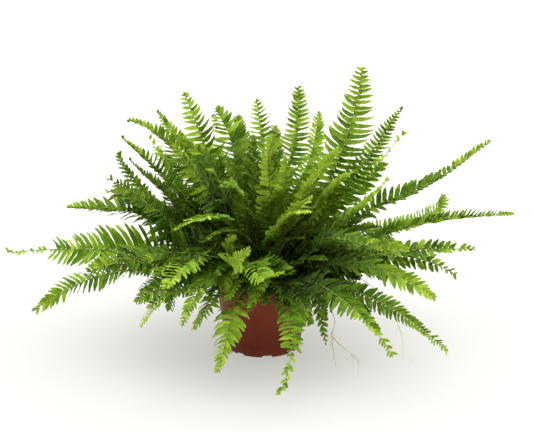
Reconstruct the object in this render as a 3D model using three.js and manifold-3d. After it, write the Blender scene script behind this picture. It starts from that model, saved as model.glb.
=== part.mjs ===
// A sword fern in a round moulded plastic pot, in millimetres, +Z up.
// The origin is on the surface that the pot stands on, at the pot's axis.
import * as THREE from "three";
import { OBB } from "three/addons/math/OBB.js";
import { mergeVertices } from "three/addons/utils/BufferGeometryUtils.js";
import Module from "manifold-3d";

// Pot
const POT_HEIGHT = 105;
const POT_TOP_RADIUS = 70;
const POT_FOOT_RADIUS = 52;
const POT_WALL = 1.8;
const COLLAR_HEIGHT = 14;
const COLLAR_STEP = 2.6;
const COLLAR_WALL = 2.5;
const FOOT_COUNT = 8;
const FOOT_HEIGHT = 3;
const FOOT_DEPTH = 8;
const NOTCH_WIDTH = 14;
const FLOOR_THICKNESS = 2.5;
const DRAIN_HOLE_RADIUS = 4;
const DRAIN_RING_RADIUS = 36;
const DRAIN_SIDES = 8;
const EDGE_ROUND = 1.2;
const FOOT_ROUND = 1.8;
// The angle from the front to the nearest notch, seen from above
const NOTCH_TURN = 6.6;
const POT_SIDES = 36;

// Soil
const SOIL_TOP = 90;
const FIT_GAP = 0.3;
const HOLE_DEPTH = 8;

// Fronds: how the stalks stand in rings in the soil, from the centre out
const CROWN_RINGS = [
  [9, 5],
  [20, 11],
  [31, 17],
  [43, 22],
];
const BARE_SHARE = 0.19;
const STALK_STEPS = 3;
// The rib's section at the soil and at the tip, and how much slimmer or stouter it is with the blade's width
const RIB_WIDTH = [2.6, 1.2];
const RIB_THICKNESS = [2.2, 0.9];
const RIB_SCALE = [0.75, 1.05];
const WIDEST_HALF_WIDTH = 41;
// A stalk that grows from another one starts inside it, this far above the soil
const SHARED_FOOT_RISE = 0.5;
// Leaflets: their spacing, their sweep to the tip at the blade's foot and at its tip, and their lengths along
// the blade as shares of the half width
const LEAFLET_PITCH = 12;
const PITCH_PER_HALF_WIDTH = 0.2;
const TIP_PITCHES = 0.6;
const LEAFLET_TIP_THICKNESS = 0.7;
const SWEEP = [6, 34];
const WIDEST_SHARE = 0.38;
const FOOT_LENGTH = 0.62;
const TIP_LENGTH = 0.1;
const TAPER_POWER = 0.8;
// How far leaflets keep from their neighbours, from the pot and from the surface that it stands on
const TEST_CLEARANCE = 0.2;
const POT_CLEARANCE = 3;
const GROUND_CLEARANCE = 6;
// A leaflet that would cross a neighbour is lifted or lowered, and then shortened
const LIFTS = [0, 13, -13, 26, -26];
const SHORTENINGS = [1, 0.78, 0.58, 0.4, 0.26];

// One row a frond: its name, its tip's place, the pitch of its stalk at the soil and of its tip, how far the
// tip turns aside, the share of its length over which it holds each pitch, half its blade's width, how far
// the blade turns to the front at the soil and at the tip, the V that its leaflets make, its tone, and, where
// it grows from another frond's foot as one body with it, that frond's name
const FRONDS = [
  ["left_long", [-350, -30, 147], 66, 2, 0, [0.3, 0.45], 41, [58, 70], 10, "young"],
  ["left_low_arch", [-305, -110, 91], 48, -26, 0, [0.3, 0.45], 27, [5, 62], 14, "green"],
  ["left_mid", [-275, 40, 190], 42, -20, 0, [0.4, 0.32], 34, [34, 22], 30, "green"],
  ["left_upturned", [-211, 110, 252], 42, 100, 0, [0.3, 0.3], 19, [30, 40], 15, "deep"],
  ["left_upturned_low", [-217, 20, 239], 46, 24, 0, [0.4, 0.38], 20, [40, 50], 15, "deep"],
  ["left_back_low", [-231, 130, 191], 46, 14, 0, [0.4, 0.38], 24, [20, 30], 15, "deep"],
  ["left_straight_high", [-199, 70, 284], 62, 38, 0, [0.4, 0.38], 30, [-4, 0], 42, "green"],
  ["left_straight_low", [-195, 130, 237], 56, 34, 0, [0.4, 0.38], 20, [-4, 0], 42, "deep"],
  ["left_high_a", [-195, 130, 297], 68, 18, 0, [0.4, 0.38], 34, [10, 14], 34, "green"],
  ["left_high_b", [-155, 160, 302], 68, 42, 0, [0.4, 0.38], 30, [20, 24], 26, "green"],
  ["left_wisp", [-170, 190, 257], 52, 76, 0, [0.45, 0.2], 16, [20, 20], 15, "young"],
  ["left_top", [-110, 70, 348], 75, 65, 0, [0.4, 0.38], 33, [42, 50], 10, "young"],
  ["top_dark", [-70, 170, 304], 84, 42, 0, [0.45, 0.38], 38, [30, 34], 10, "green"],
  ["top_left", [-9, 90, 335], 76, 78, 0, [0.4, 0.38], 33, [0, 8], 10, "young"],
  ["top_centre", [51, 110, 352], 83, 64, 0, [0.4, 0.38], 29, [12, 18], 10, "green"],
  ["top_back", [82, 178, 298], 72, 48, 0, [0.4, 0.38], 28, [15, 20], 10, "young"],
  ["top_tall", [138, 50, 390], 56, 78, 0, [0.42, 0.4], 41, [60, 68], 8, "green"],
  ["right_top_b", [197, 90, 323], 51, 44, 0, [0.4, 0.38], 28, [40, 48], 12, "green"],
  ["right_top_c", [208, 180, 266], 48, 44, 0, [0.4, 0.38], 20, [30, 30], 15, "young"],
  ["right_small", [167, -60, 259], 52, 40, 0, [0.4, 0.38], 14, [30, 30], 15, "young"],
  ["right_long_high", [320, 60, 282], 37, 24, 0, [0.3, 0.45], 26, [16, 20], 40, "green"],
  ["right_long_mid", [350, 20, 186], 37, -1, 0, [0.3, 0.42], 23, [-2, 0], 48, "green"],
  ["right_upturned", [271, 160, 176], 38, 104, 0, [0.43, 0.2], 20, [20, 85], 15, "young"],
  ["right_low_a", [286, -60, 161], 42, 2, 0, [0.3, 0.42], 20, [25, 40], 20, "green"],
  ["right_low_b", [264, -40, 118], 42, -22, 0, [0.36, 0.4], 24, [30, 50], 12, "green"],
  ["right_low_c", [228, -120, 111], 48, -36, 0, [0.36, 0.4], 26, [10, 30], 12, "young"],
  ["right_front_low", [237, -190, 67], 44, -24, 0, [0.36, 0.4], 19, [20, 40], 12, "green"],
  ["right_front_b", [164, -220, 71], 47, -46, 0, [0.36, 0.38], 27, [10, 20], 12, "green"],
  ["right_under", [86, -88, 34], 52, -80, 0, [0.9, 0.34], 15, [10, 10], 10, "young"],
  ["front_hanging_right", [21, -262, 37], 50, -44, -42, [0.36, 0.36], 21, [0, 0], 12, "young"],
  ["right_light", [193, -110, 175], 50, -10, 0, [0.4, 0.38], 25, [10, 15], 15, "green"],
  ["centre_tip_a", [81, -70, 278], 76, 44, 0, [0.4, 0.38], 20, [10, 20], 12, "young"],
  ["centre_tip_b", [63, -110, 247], 70, 30, 0, [0.4, 0.38], 19, [0, 10], 12, "young"],
  ["front_tip_a", [26, -240, 188], 55, 14, 68, [0.42, 0.3], 24, [0, 45], 12, "young"],
  ["front_tip_b", [-15, -240, 220], 52, 32, 72, [0.42, 0.3], 24, [0, 45], 12, "young"],
  ["front_left_a", [-159, -150, 84], 48, -42, 0, [0.38, 0.38], 16, [0, 10], 12, "young"],
  ["front_left_b", [-101, -220, 112], 56, -56, 0, [0.4, 0.38], 26, [0, 0], 12, "green"],
  ["front_left_c", [-88, -160, 84], 50, -58, 0, [0.4, 0.38], 20, [0, 0], 12, "young"],
  ["front_hanging_left", [-58, -200, 41], 52, -60, -36, [0.38, 0.38], 24, [0, 0], 12, "young"],
  ["front_left_arch", [-112, -170, 221], 72, -34, 0, [0.42, 0.38], 19, [0, 0], 12, "young"],
  ["front_left_light", [-123, -190, 150], 56, -32, 0, [0.4, 0.38], 26, [0, 0], 12, "young"],
  ["left_under", [-152, -100, 91], 50, -50, 0, [0.4, 0.38], 20, [10, 20], 12, "deep"],
  ["centre_left_big", [-120, -40, 300], 74, 48, 0, [0.4, 0.38], 38, [40, 40], 10, "green"],
  ["centre_up_a", [15, -30, 312], 84, 70, 0, [0.4, 0.38], 23, [0, 0], 10, "young"],
  ["centre_up_b", [30, -80, 297], 80, 56, -40, [0.4, 0.38], 22, [0, 0], 10, "young"],
  ["centre_right_a", [105, -30, 295], 72, 52, 0, [0.4, 0.38], 25, [30, 30], 10, "green"],
  ["front_low_centre", [0, -140, 130], 68, -40, 0, [0.4, 0.4], 19, [0, 0], 12, "deep", "front_hanging_right"],
  ["front_low_left", [-46, -150, 120], 62, -50, 0, [0.4, 0.4], 20, [0, 0], 12, "green", "front_hanging_left"],
  ["front_low_right", [62, -160, 96], 60, -58, 0, [0.45, 0.38], 20, [0, 0], 12, "green", "right_front_b"],
  ["centre_front_a", [64, -125, 232], 74, 20, 20, [0.45, 0.38], 18, [0, 20], 12, "young", "centre_up_b"],
  ["centre_front_b", [-56, -110, 268], 76, 10, 0, [0.42, 0.38], 22, [20, 30], 12, "green", "front_left_arch"],
  ["centre_right_b", [118, -60, 268], 68, 36, 0, [0.4, 0.38], 22, [35, 40], 12, "green", "centre_right_a"],
  ["right_mid", [150, -140, 196], 60, -6, 0, [0.42, 0.38], 24, [20, 20], 12, "green", "right_light"],
  ["left_front", [-140, -160, 158], 58, -24, 0, [0.42, 0.38], 24, [10, 10], 12, "deep", "front_left_a"],
  ["left_mid_low", [-235, -70, 132], 54, -26, 0, [0.36, 0.4], 32, [15, 40], 12, "green", "left_low_arch"],
  ["back_right_low", [215, 110, 108], 46, -36, 0, [0.38, 0.38], 30, [0, 0], 12, "green"],
  ["back_right", [130, 205, 96], 50, -42, 0, [0.38, 0.38], 31, [0, 0], 12, "green"],
  ["back_low_a", [55, 262, 112], 52, -36, 0, [0.38, 0.38], 32, [0, 0], 12, "green"],
  ["back_low_b", [-25, 235, 82], 50, -50, 0, [0.38, 0.38], 28, [0, 0], 12, "deep"],
  ["back_left", [-95, 240, 118], 52, -32, 0, [0.38, 0.38], 31, [0, 0], 12, "green"],
  ["back_left_low", [-180, 170, 92], 48, -40, 0, [0.38, 0.38], 30, [0, 0], 12, "deep"],
  ["back_high_right", [105, 225, 225], 64, 2, 0, [0.4, 0.38], 32, [0, 0], 12, "green"],
  ["back_high", [15, 245, 205], 62, -6, 0, [0.4, 0.38], 32, [0, 0], 12, "young"],
  ["back_high_left", [-85, 220, 235], 66, 6, 0, [0.4, 0.38], 32, [0, 0], 12, "green"],
];

// Runners: thin pale stems that root from the crown; the first strand rises from the soil at its foot, and a
// second one forks from it, each through points chosen by hand
const RUNNER_SIDES = 5;
const RUNNER_STEPS = 14;
const RUNNER_DEPTH = 5;
const RUNNER_UPRIGHT = 10;
const RUNNER_THICKNESS = 1.3;
const RUNNERS = {
  runner_front_right: {
    foot: [50, -24],
    strands: [
      [[62, -42, 114], [82, -72, 100], [97, -90, 69], [93, -100, 52], [98, -130, 17]],
      [[93, -100, 52], [100, -110, 46], [112, -120, 39], [130, -130, 26]],
    ],
  },
  runner_right: {
    foot: [52, -14],
    strands: [
      [[72, -30, 122], [118, -70, 130], [164, -100, 105], [173, -105, 87], [185, -120, 60], [187, -140, 34]],
    ],
  },
  runner_left: {
    foot: [-51, 16],
    strands: [[[-72, 24, 128], [-130, 40, 172], [-188, 50, 204], [-225, 58, 207], [-260, 58, 203]]],
  },
};

// The place in a row of the name of the frond that it shares a foot with
const HOST = 10;

// Each finish's colour and roughness
const FINISHES = {
  pot: [0x653124, 0.42],
  soil: [0x2b1d14, 0.95],
  runner: [0xb9a46a, 0.6],
  green: [0x3f7a1c, 0.5],
  young: [0x84ae38, 0.5],
  deep: [0x234d10, 0.5],
};

const wasm = await Module();
wasm.setup();
const part = new THREE.Group();
const radians = THREE.MathUtils.degToRad;
const mix = THREE.MathUtils.lerp;

// The position-only mesh with merged corners and no empty triangles, as a solid
function toSolid(geometry) {
  const bare = geometry.clone();
  bare.deleteAttribute("normal");
  bare.deleteAttribute("uv");
  const merged = mergeVertices(bare, 1e-4);
  const corners = [];
  for (let i = 0; i < merged.index.count; i += 3) {
    const [a, b, c] = [0, 1, 2].map((k) => merged.index.getX(i + k));
    if (a !== b && b !== c && c !== a) corners.push(a, b, c);
  }
  const vertProperties = merged.attributes.position.array;
  return new wasm.Manifold(new wasm.Mesh({ numProp: 3, vertProperties, triVerts: new Uint32Array(corners) }));
}

function toGeometry(solid) {
  const { vertProperties, triVerts } = solid.getMesh();
  const geometry = new THREE.BufferGeometry();
  geometry.setAttribute("position", new THREE.Float32BufferAttribute(vertProperties, 3));
  geometry.setIndex(new THREE.Uint32BufferAttribute(triVerts, 1));
  return geometry.toNonIndexed();
}

function addPiece(name, geometry, finish) {
  geometry.computeVertexNormals();
  const [color, roughness] = FINISHES[finish];
  const material = new THREE.MeshStandardMaterial({ color, roughness, metalness: 0 });
  const mesh = new THREE.Mesh(geometry, material);
  mesh.name = name;
  part.add(mesh);
}

// A profile of radius and height turned round the Z axis
function turned(profile, sides) {
  const points = profile.map(([radius, height]) => new THREE.Vector2(radius, height));
  return new THREE.LatheGeometry(points, sides).rotateX(Math.PI / 2);
}

// Pot: a tapered shell with a collar, a raised floor with drain holes, and feet with notches between them
const wallSlope = (POT_TOP_RADIUS - COLLAR_STEP - POT_FOOT_RADIUS) / POT_HEIGHT;
const wallRadius = (height) => POT_FOOT_RADIUS + wallSlope * height;
const collarBottom = POT_HEIGHT - COLLAR_HEIGHT;
const floorTop = FOOT_HEIGHT + FLOOR_THICKNESS;

function makePot() {
  const collarFoot = wallRadius(collarBottom) + COLLAR_STEP;
  const profile = [
    [0, FOOT_HEIGHT],
    [POT_FOOT_RADIUS - FOOT_DEPTH, FOOT_HEIGHT],
    [POT_FOOT_RADIUS - FOOT_DEPTH + FOOT_ROUND / 2, 0],
    [POT_FOOT_RADIUS - FOOT_ROUND, 0],
    [POT_FOOT_RADIUS, FOOT_ROUND],
    [wallRadius(collarBottom - EDGE_ROUND), collarBottom - EDGE_ROUND],
    [collarFoot, collarBottom],
    [POT_TOP_RADIUS, POT_HEIGHT - EDGE_ROUND],
    [POT_TOP_RADIUS - COLLAR_WALL / 3, POT_HEIGHT],
    [POT_TOP_RADIUS - (2 * COLLAR_WALL) / 3, POT_HEIGHT],
    [POT_TOP_RADIUS - COLLAR_WALL, POT_HEIGHT - EDGE_ROUND],
    [collarFoot - COLLAR_WALL, collarBottom + EDGE_ROUND],
    [wallRadius(collarBottom) - POT_WALL, collarBottom - EDGE_ROUND],
    [wallRadius(floorTop) - POT_WALL, floorTop],
    [0, floorTop],
  ];
  let pot = toSolid(turned(profile, POT_SIDES));
  for (let i = 0; i < FOOT_COUNT; i += 1) {
    const angle = radians(-90 + NOTCH_TURN + (i * 360) / FOOT_COUNT);
    const notch = new THREE.BoxGeometry(FOOT_DEPTH * 3, NOTCH_WIDTH, 2 * FOOT_HEIGHT);
    notch.translate(POT_FOOT_RADIUS, 0, 0).rotateZ(angle);
    pot = pot.subtract(toSolid(notch));
    const drain = new THREE.CylinderGeometry(DRAIN_HOLE_RADIUS, DRAIN_HOLE_RADIUS, 3 * floorTop, DRAIN_SIDES);
    drain.rotateX(Math.PI / 2).translate(DRAIN_RING_RADIUS, 0, 0).rotateZ(angle);
    pot = pot.subtract(toSolid(drain));
  }
  addPiece("pot", toGeometry(pot), "pot");
}

// Fronds: the steepest stand in the inner rings, and round a ring they stand in the order they point
function footPlaces() {
  const order = FRONDS.filter((row) => !row[HOST]).sort((a, b) => b[2] - a[2]);
  const places = {};
  let used = 0;
  for (const [radius, count] of CROWN_RINGS) {
    const members = order.slice(used, used + count).map(([name, [x, y]]) => {
      return { name, bearing: (Math.atan2(y, x) + 2 * Math.PI) % (2 * Math.PI) };
    });
    used += count;
    members.sort((a, b) => a.bearing - b.bearing);
    const step = (2 * Math.PI) / members.length;
    const start = members.reduce((sum, member, i) => sum + member.bearing - i * step, 0) / members.length;
    members.forEach(({ name }, i) => {
      const angle = start + i * step;
      places[name] = new THREE.Vector3(radius * Math.cos(angle), radius * Math.sin(angle), SOIL_TOP);
    });
  }
  return FRONDS.map((row) => places[row[HOST] ?? row[0]]);
}

function heading(angle, pitch) {
  const level = Math.cos(pitch);
  return new THREE.Vector3(Math.cos(angle) * level, Math.sin(angle) * level, Math.sin(pitch));
}

// A frond's curve from the soil to its tip, and the frame that its blade lies in along it
function frondCurve(row, foot) {
  const [, tipPlace, rise, end, turn, [holdFoot, holdTip], , face] = row;
  const tip = new THREE.Vector3(...tipPlace);
  const angle = Math.atan2(tip.y - foot.y, tip.x - foot.x);
  const length = tip.distanceTo(foot);
  const leave = heading(angle, radians(rise)).multiplyScalar(length * holdFoot);
  const arrive = heading(angle + radians(turn), radians(end)).multiplyScalar(length * holdTip);
  const curve = new THREE.CubicBezierCurve3(foot, foot.clone().add(leave), tip.clone().sub(arrive), tip);
  const across = new THREE.Vector3(-Math.sin(angle), Math.cos(angle), 0);
  const toFront = -Math.sign(Math.cos(angle));
  const frameAt = (share) => {
    const at = curve.getPointAt(share);
    const along = curve.getTangentAt(share);
    const level = across.clone().addScaledVector(along, -across.dot(along)).normalize();
    const above = new THREE.Vector3().crossVectors(along, level);
    const lean = toFront * radians(mix(face[0], face[1], share));
    const side = level.clone().multiplyScalar(Math.cos(lean)).addScaledVector(above, -Math.sin(lean));
    const up = above.clone().multiplyScalar(Math.cos(lean)).addScaledVector(level, Math.sin(lean));
    return { at, along, side, up, share };
  };
  return { curve, across, angle, frameAt };
}

// How long the leaflets are along the blade: short at its foot, longest before its middle, tiny at its tip
function lengthShare(share) {
  if (share < WIDEST_SHARE) return mix(FOOT_LENGTH, 1, Math.sin((Math.PI / 2) * (share / WIDEST_SHARE)));
  const outward = (share - WIDEST_SHARE) / (1 - WIDEST_SHARE);
  return mix(TIP_LENGTH, 1, Math.cos((Math.PI / 2) * outward) ** TAPER_POWER);
}

// The four corners of the rib's section: side and up, then round
function ribCorners({ at, side, up, share }, slim) {
  const halfWidth = (mix(RIB_WIDTH[0], RIB_WIDTH[1], share) * slim) / 2;
  const halfThickness = (mix(RIB_THICKNESS[0], RIB_THICKNESS[1], share) * slim) / 2;
  return [[1, 1], [-1, 1], [-1, -1], [1, -1]].map(([s, u]) =>
    at.clone().addScaledVector(side, s * halfWidth).addScaledVector(up, u * halfThickness),
  );
}

// The box that holds some points, set square to a direction and to a face's normal
function boxRound(points, direction, normal) {
  const z = normal.clone();
  const y = new THREE.Vector3().crossVectors(z, direction).normalize();
  const x = new THREE.Vector3().crossVectors(y, z);
  const turn = new THREE.Matrix4().makeBasis(x, y, z);
  const back = turn.clone().invert();
  const box = new THREE.Box3().setFromPoints(points.map((point) => point.clone().applyMatrix4(back)));
  box.expandByScalar(TEST_CLEARANCE);
  const centre = box.getCenter(new THREE.Vector3()).applyMatrix4(turn);
  const half = box.getSize(new THREE.Vector3()).multiplyScalar(0.5);
  const obb = new OBB(centre, half, new THREE.Matrix3().setFromMatrix4(turn));
  return { obb, reach: half.length() };
}

const obstacles = [];

function isClear(owner, box) {
  return obstacles.every(
    (other) =>
      other.owner === owner ||
      other.box.obb.center.distanceTo(box.obb.center) > other.box.reach + box.reach ||
      !other.box.obb.intersectsOBB(box.obb),
  );
}

// Clear of the pot's wall and rim, and of the surface that the pot stands on
function isClearOfPot(points) {
  return points.every((point) => {
    const radius = Math.hypot(point.x, point.y);
    const overPot = radius < POT_TOP_RADIUS + POT_CLEARANCE;
    const overRim = overPot && radius > wallRadius(SOIL_TOP) - POT_WALL - POT_CLEARANCE;
    const lowest = overRim ? POT_HEIGHT + POT_CLEARANCE : SOIL_TOP + POT_CLEARANCE;
    return point.z > (overPot ? lowest : GROUND_CLEARANCE);
  });
}

// The stalk stands upright in its hole, or starts inside the stalk that it grows from, and then leans out
function stalkSections(frond) {
  const inward = heading(frond.angle, 0).negate();
  const heights = frond.host ? [SHARED_FOOT_RISE] : [-HOLE_DEPTH, 0];
  const sections = heights.map((height) => {
    const at = frond.foot.clone().setZ(SOIL_TOP + height);
    return ribCorners({ at, side: frond.across, up: inward, share: 0 }, frond.slim);
  });
  for (let i = 1; i < STALK_STEPS; i += 1) {
    sections.push(ribCorners(frond.frameAt((BARE_SHARE * i) / STALK_STEPS), frond.slim));
  }
  return sections;
}

function setOutFrond(row, foot) {
  const [name, , , , , , halfWidth, , fold, tone, host] = row;
  const frond = { name, foot, halfWidth, fold, tone, host, ...frondCurve(row, foot) };
  frond.slim = mix(RIB_SCALE[0], RIB_SCALE[1], halfWidth / WIDEST_HALF_WIDTH);
  const bladeLength = frond.curve.getLength() * (1 - BARE_SHARE);
  frond.pairs = Math.round(bladeLength / (LEAFLET_PITCH + PITCH_PER_HALF_WIDTH * halfWidth));
  frond.frames = [];
  for (let i = 0; i <= frond.pairs; i += 1) {
    frond.frames.push(frond.frameAt(BARE_SHARE + ((1 - BARE_SHARE) * i) / (frond.pairs + TIP_PITCHES)));
  }
  const blade = frond.frames.map((frame) => ribCorners(frame, frond.slim));
  frond.sections = [...stalkSections(frond), ...blade];
  frond.stalkCount = frond.sections.length - blade.length;
  for (let i = 1; i < frond.sections.length; i += 1) {
    const [a, b] = [frond.sections[i - 1], frond.sections[i]];
    const along = b[0].clone().sub(a[0]).normalize();
    const across = b[0].clone().sub(b[1]);
    const normal = new THREE.Vector3().crossVectors(along, across).normalize();
    obstacles.push({ owner: name, box: boxRound([...a, ...b], along, normal) });
  }
  return frond;
}

// A leaflet's two tip corners, or null where no lift or length keeps it clear of its neighbours
function leafletTip(frond, i, sign) {
  const [frameA, frameB] = [frond.frames[i], frond.frames[i + 1]];
  const sections = [frond.sections[frond.stalkCount + i], frond.sections[frond.stalkCount + i + 1]];
  const [top, bottom] = sign > 0 ? [0, 3] : [1, 2];
  const root = sections.flatMap((section) => [section[top], section[bottom]]);
  const middle = root.reduce((sum, point) => sum.add(point), new THREE.Vector3()).multiplyScalar(0.25);
  const bladeShare = (i + 0.5) / frond.pairs;
  const sweep = radians(mix(SWEEP[0], SWEEP[1], bladeShare));
  const along = frameA.along.clone().add(frameB.along).normalize();
  const fullLength = frond.halfWidth * lengthShare(bladeShare);
  for (const shortening of SHORTENINGS) {
    for (const lift of LIFTS) {
      const rise = radians(frond.fold + lift);
      const direction = frameA.side.clone().multiplyScalar(sign * Math.cos(rise));
      direction.addScaledVector(frameA.up, Math.sin(rise));
      direction.multiplyScalar(Math.cos(sweep)).addScaledVector(along, Math.sin(sweep));
      const tip = middle.clone().addScaledVector(direction, fullLength * shortening);
      const normal = new THREE.Vector3().crossVectors(along, direction).multiplyScalar(sign).normalize();
      const corners = [0.5, -0.5].map((s) => tip.clone().addScaledVector(normal, s * LEAFLET_TIP_THICKNESS));
      const halfway = root.flatMap((point) => corners.map((corner) => point.clone().lerp(corner, 0.5)));
      const boxes = [[...root, ...halfway], [...halfway, ...corners]].map((points) =>
        boxRound(points, direction, normal),
      );
      const clear = isClearOfPot([...halfway, ...corners]) && boxes.every((box) => isClear(frond.name, box));
      if (clear) {
        boxes.forEach((box) => obstacles.push({ owner: frond.name, box }));
        return corners;
      }
    }
  }
  return null;
}

// The frond as one closed skin: the rib's four faces, with a leaflet drawn out of each side of it
function frondGeometry(frond) {
  const positions = [];
  const face = (...corners) => {
    for (let k = 2; k < corners.length; k += 1) {
      for (const corner of [corners[0], corners[k - 1], corners[k]]) positions.push(...corner.toArray());
    }
  };
  const leaflet = (a, b, c, d, tipA, tipB) => {
    face(a, b, tipB, tipA);
    face(b, c, tipB);
    face(tipA, tipB, c, d);
    face(tipA, d, a);
  };
  const { sections, stalkCount } = frond;
  face(...sections[0].slice().reverse());
  for (let i = 1; i < sections.length; i += 1) {
    const [a, b] = [sections[i - 1], sections[i]];
    face(a[0], a[1], b[1], b[0]);
    face(a[3], b[3], b[2], a[2]);
    const pair = i - 1 - stalkCount;
    const right = pair >= 0 ? leafletTip(frond, pair, 1) : null;
    const left = pair >= 0 ? leafletTip(frond, pair, -1) : null;
    if (right) leaflet(a[3], a[0], b[0], b[3], right[1], right[0]);
    else face(a[3], a[0], b[0], b[3]);
    if (left) leaflet(a[1], a[2], b[2], b[1], left[0], left[1]);
    else face(a[1], a[2], b[2], b[1]);
  }
  const last = sections[sections.length - 1];
  const { at, up } = frond.frameAt(1);
  const [top, bottom] = [0.5, -0.5].map((s) => at.clone().addScaledVector(up, s * LEAFLET_TIP_THICKNESS));
  face(last[0], last[1], top);
  face(last[1], last[2], bottom, top);
  face(last[2], last[3], bottom);
  face(last[3], last[0], top, bottom);
  return new THREE.BufferGeometry().setAttribute("position", new THREE.Float32BufferAttribute(positions, 3));
}

// A frond on a foot of its own is a piece, and those that share its foot are joined to it
function makeFronds(fronds) {
  const solids = new Map(fronds.map((frond) => [frond.name, toSolid(frondGeometry(frond))]));
  for (const { name, host } of fronds) {
    if (host) solids.set(host, solids.get(host).add(solids.get(name)));
  }
  for (const { name, host, tone } of fronds) {
    if (!host) addPiece(`frond_${name}`, toGeometry(solids.get(name)), tone);
  }
}

// Runners
function runnerCurve({ foot: [x, y], strands }, strand) {
  const rooted = strand === strands[0];
  const uprightRises = rooted ? [-RUNNER_DEPTH, RUNNER_THICKNESS, RUNNER_UPRIGHT] : [];
  const upright = uprightRises.map((rise) => [x, y, SOIL_TOP + rise]);
  return new THREE.CatmullRomCurve3([...upright, ...strand].map((point) => new THREE.Vector3(...point)));
}

function setOutRunner(name, runner) {
  // Any direction that no runner runs along
  const aside = new THREE.Vector3(0.3, 1, 0.2);
  for (const strand of runner.strands) {
    const stops = runnerCurve(runner, strand).getSpacedPoints(RUNNER_STEPS);
    for (let i = 1; i < stops.length; i += 1) {
      const along = stops[i].clone().sub(stops[i - 1]).normalize();
      const normal = new THREE.Vector3().crossVectors(along, aside).normalize();
      const box = boxRound([stops[i - 1], stops[i]], along, normal);
      box.obb.halfSize.addScalar(RUNNER_THICKNESS);
      box.reach += 2 * RUNNER_THICKNESS;
      obstacles.push({ owner: name, box });
    }
  }
}

function makeRunner(name, runner) {
  const section = new THREE.Shape().absarc(0, 0, RUNNER_THICKNESS / 2, 0, 2 * Math.PI);
  const outline = new THREE.Shape(section.getSpacedPoints(RUNNER_SIDES).slice(0, RUNNER_SIDES));
  const strands = runner.strands.map((strand) => {
    const options = { steps: RUNNER_STEPS, bevelEnabled: false, extrudePath: runnerCurve(runner, strand) };
    return toSolid(new THREE.ExtrudeGeometry(outline, options));
  });
  addPiece(name, toGeometry(strands.reduce((whole, strand) => whole.add(strand))), "runner");
}

// Soil: a plug that fills the pot, with a plain hole for each stalk
function makeSoil(fronds) {
  const bottom = floorTop + FIT_GAP;
  const inner = (height) => wallRadius(height) - POT_WALL - FIT_GAP;
  const profile = [[0, bottom], [inner(bottom), bottom], [inner(SOIL_TOP), SOIL_TOP], [0, SOIL_TOP]];
  let soil = toSolid(turned(profile, POT_SIDES));
  const cutHole = (x, y, angle, thickness, width, depth) => {
    const hole = new THREE.BoxGeometry(thickness + 2 * FIT_GAP, width + 2 * FIT_GAP, 2 * (depth + FIT_GAP));
    soil = soil.subtract(toSolid(hole.rotateZ(angle).translate(x, y, SOIL_TOP)));
  };
  for (const { foot, angle, slim } of fronds.filter((frond) => !frond.host)) {
    cutHole(foot.x, foot.y, angle, RIB_THICKNESS[0] * slim, RIB_WIDTH[0] * slim, HOLE_DEPTH);
  }
  for (const { foot: [x, y] } of Object.values(RUNNERS)) {
    cutHole(x, y, 0, RUNNER_THICKNESS, RUNNER_THICKNESS, RUNNER_DEPTH);
  }
  addPiece("soil", toGeometry(soil), "soil");
}

makePot();
const feet = footPlaces();
const fronds = FRONDS.map((row, i) => setOutFrond(row, feet[i]));
Object.entries(RUNNERS).forEach(([name, runner]) => setOutRunner(name, runner));
makeSoil(fronds);
makeFronds(fronds);
Object.entries(RUNNERS).forEach(([name, runner]) => makeRunner(name, runner));

export default part;
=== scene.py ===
"""The looks of a sword fern in a round moulded plastic pot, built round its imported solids.

Lengths are millimetres, turned to metres where a mesh is made. The origin is on the surface that the
pot stands on, at the pot's axis, and Z is up. The named angles are degrees.
"""

import math
from functools import partial

import bpy
import numpy as np
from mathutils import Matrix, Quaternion


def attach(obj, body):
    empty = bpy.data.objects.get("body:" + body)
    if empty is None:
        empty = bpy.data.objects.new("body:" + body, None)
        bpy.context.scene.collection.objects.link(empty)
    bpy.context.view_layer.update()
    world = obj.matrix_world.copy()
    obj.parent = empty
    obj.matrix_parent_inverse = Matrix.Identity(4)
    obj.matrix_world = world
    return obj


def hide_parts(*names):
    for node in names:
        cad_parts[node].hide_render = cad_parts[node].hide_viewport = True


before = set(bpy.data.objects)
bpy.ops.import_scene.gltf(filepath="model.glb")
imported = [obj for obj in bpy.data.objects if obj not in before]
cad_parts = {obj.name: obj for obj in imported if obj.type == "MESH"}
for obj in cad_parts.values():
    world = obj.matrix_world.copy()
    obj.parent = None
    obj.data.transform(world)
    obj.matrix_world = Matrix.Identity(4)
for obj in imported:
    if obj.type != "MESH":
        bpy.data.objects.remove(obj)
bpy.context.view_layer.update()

MM = 0.001
SEED = 11
GOLDEN_ANGLE = math.pi * (3 - math.sqrt(5))

# Pot
POT_HEIGHT = 105
POT_TOP_RADIUS = 70
POT_FOOT_RADIUS = 52
POT_WALL = 1.8
POT_SIDES = 96
COLLAR_HEIGHT = 14
COLLAR_STEP = 2.6
COLLAR_WALL = 2.5
FOOT_COUNT = 8
FOOT_HEIGHT = 3
FOOT_DEPTH = 8
NOTCH_WIDTH = 14
NOTCH_ROUNDING = 2.2
NOTCH_TURN = 6.6
FLOOR_THICKNESS = 2.5
DRAIN_HOLE_RADIUS = 4
DRAIN_RING_RADIUS = 36
# Its rounded edges, as steps out and up from the sharp edge
FOOT_EDGE = [(-1.8, 0), (-0.8, 0.3), (-0.2, 1), (0.1, 2)]
COLLAR_EDGE = [(-0.8, -0.6), (-0.2, -0.2), (0, 0.6)]
RIM_EDGE = [(0, -1.3), (-0.2, -0.6), (-0.8, -0.1), (-1.3, 0), (-1.9, -0.2), (-2.4, -0.7), (-2.5, -1.4)]

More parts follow.
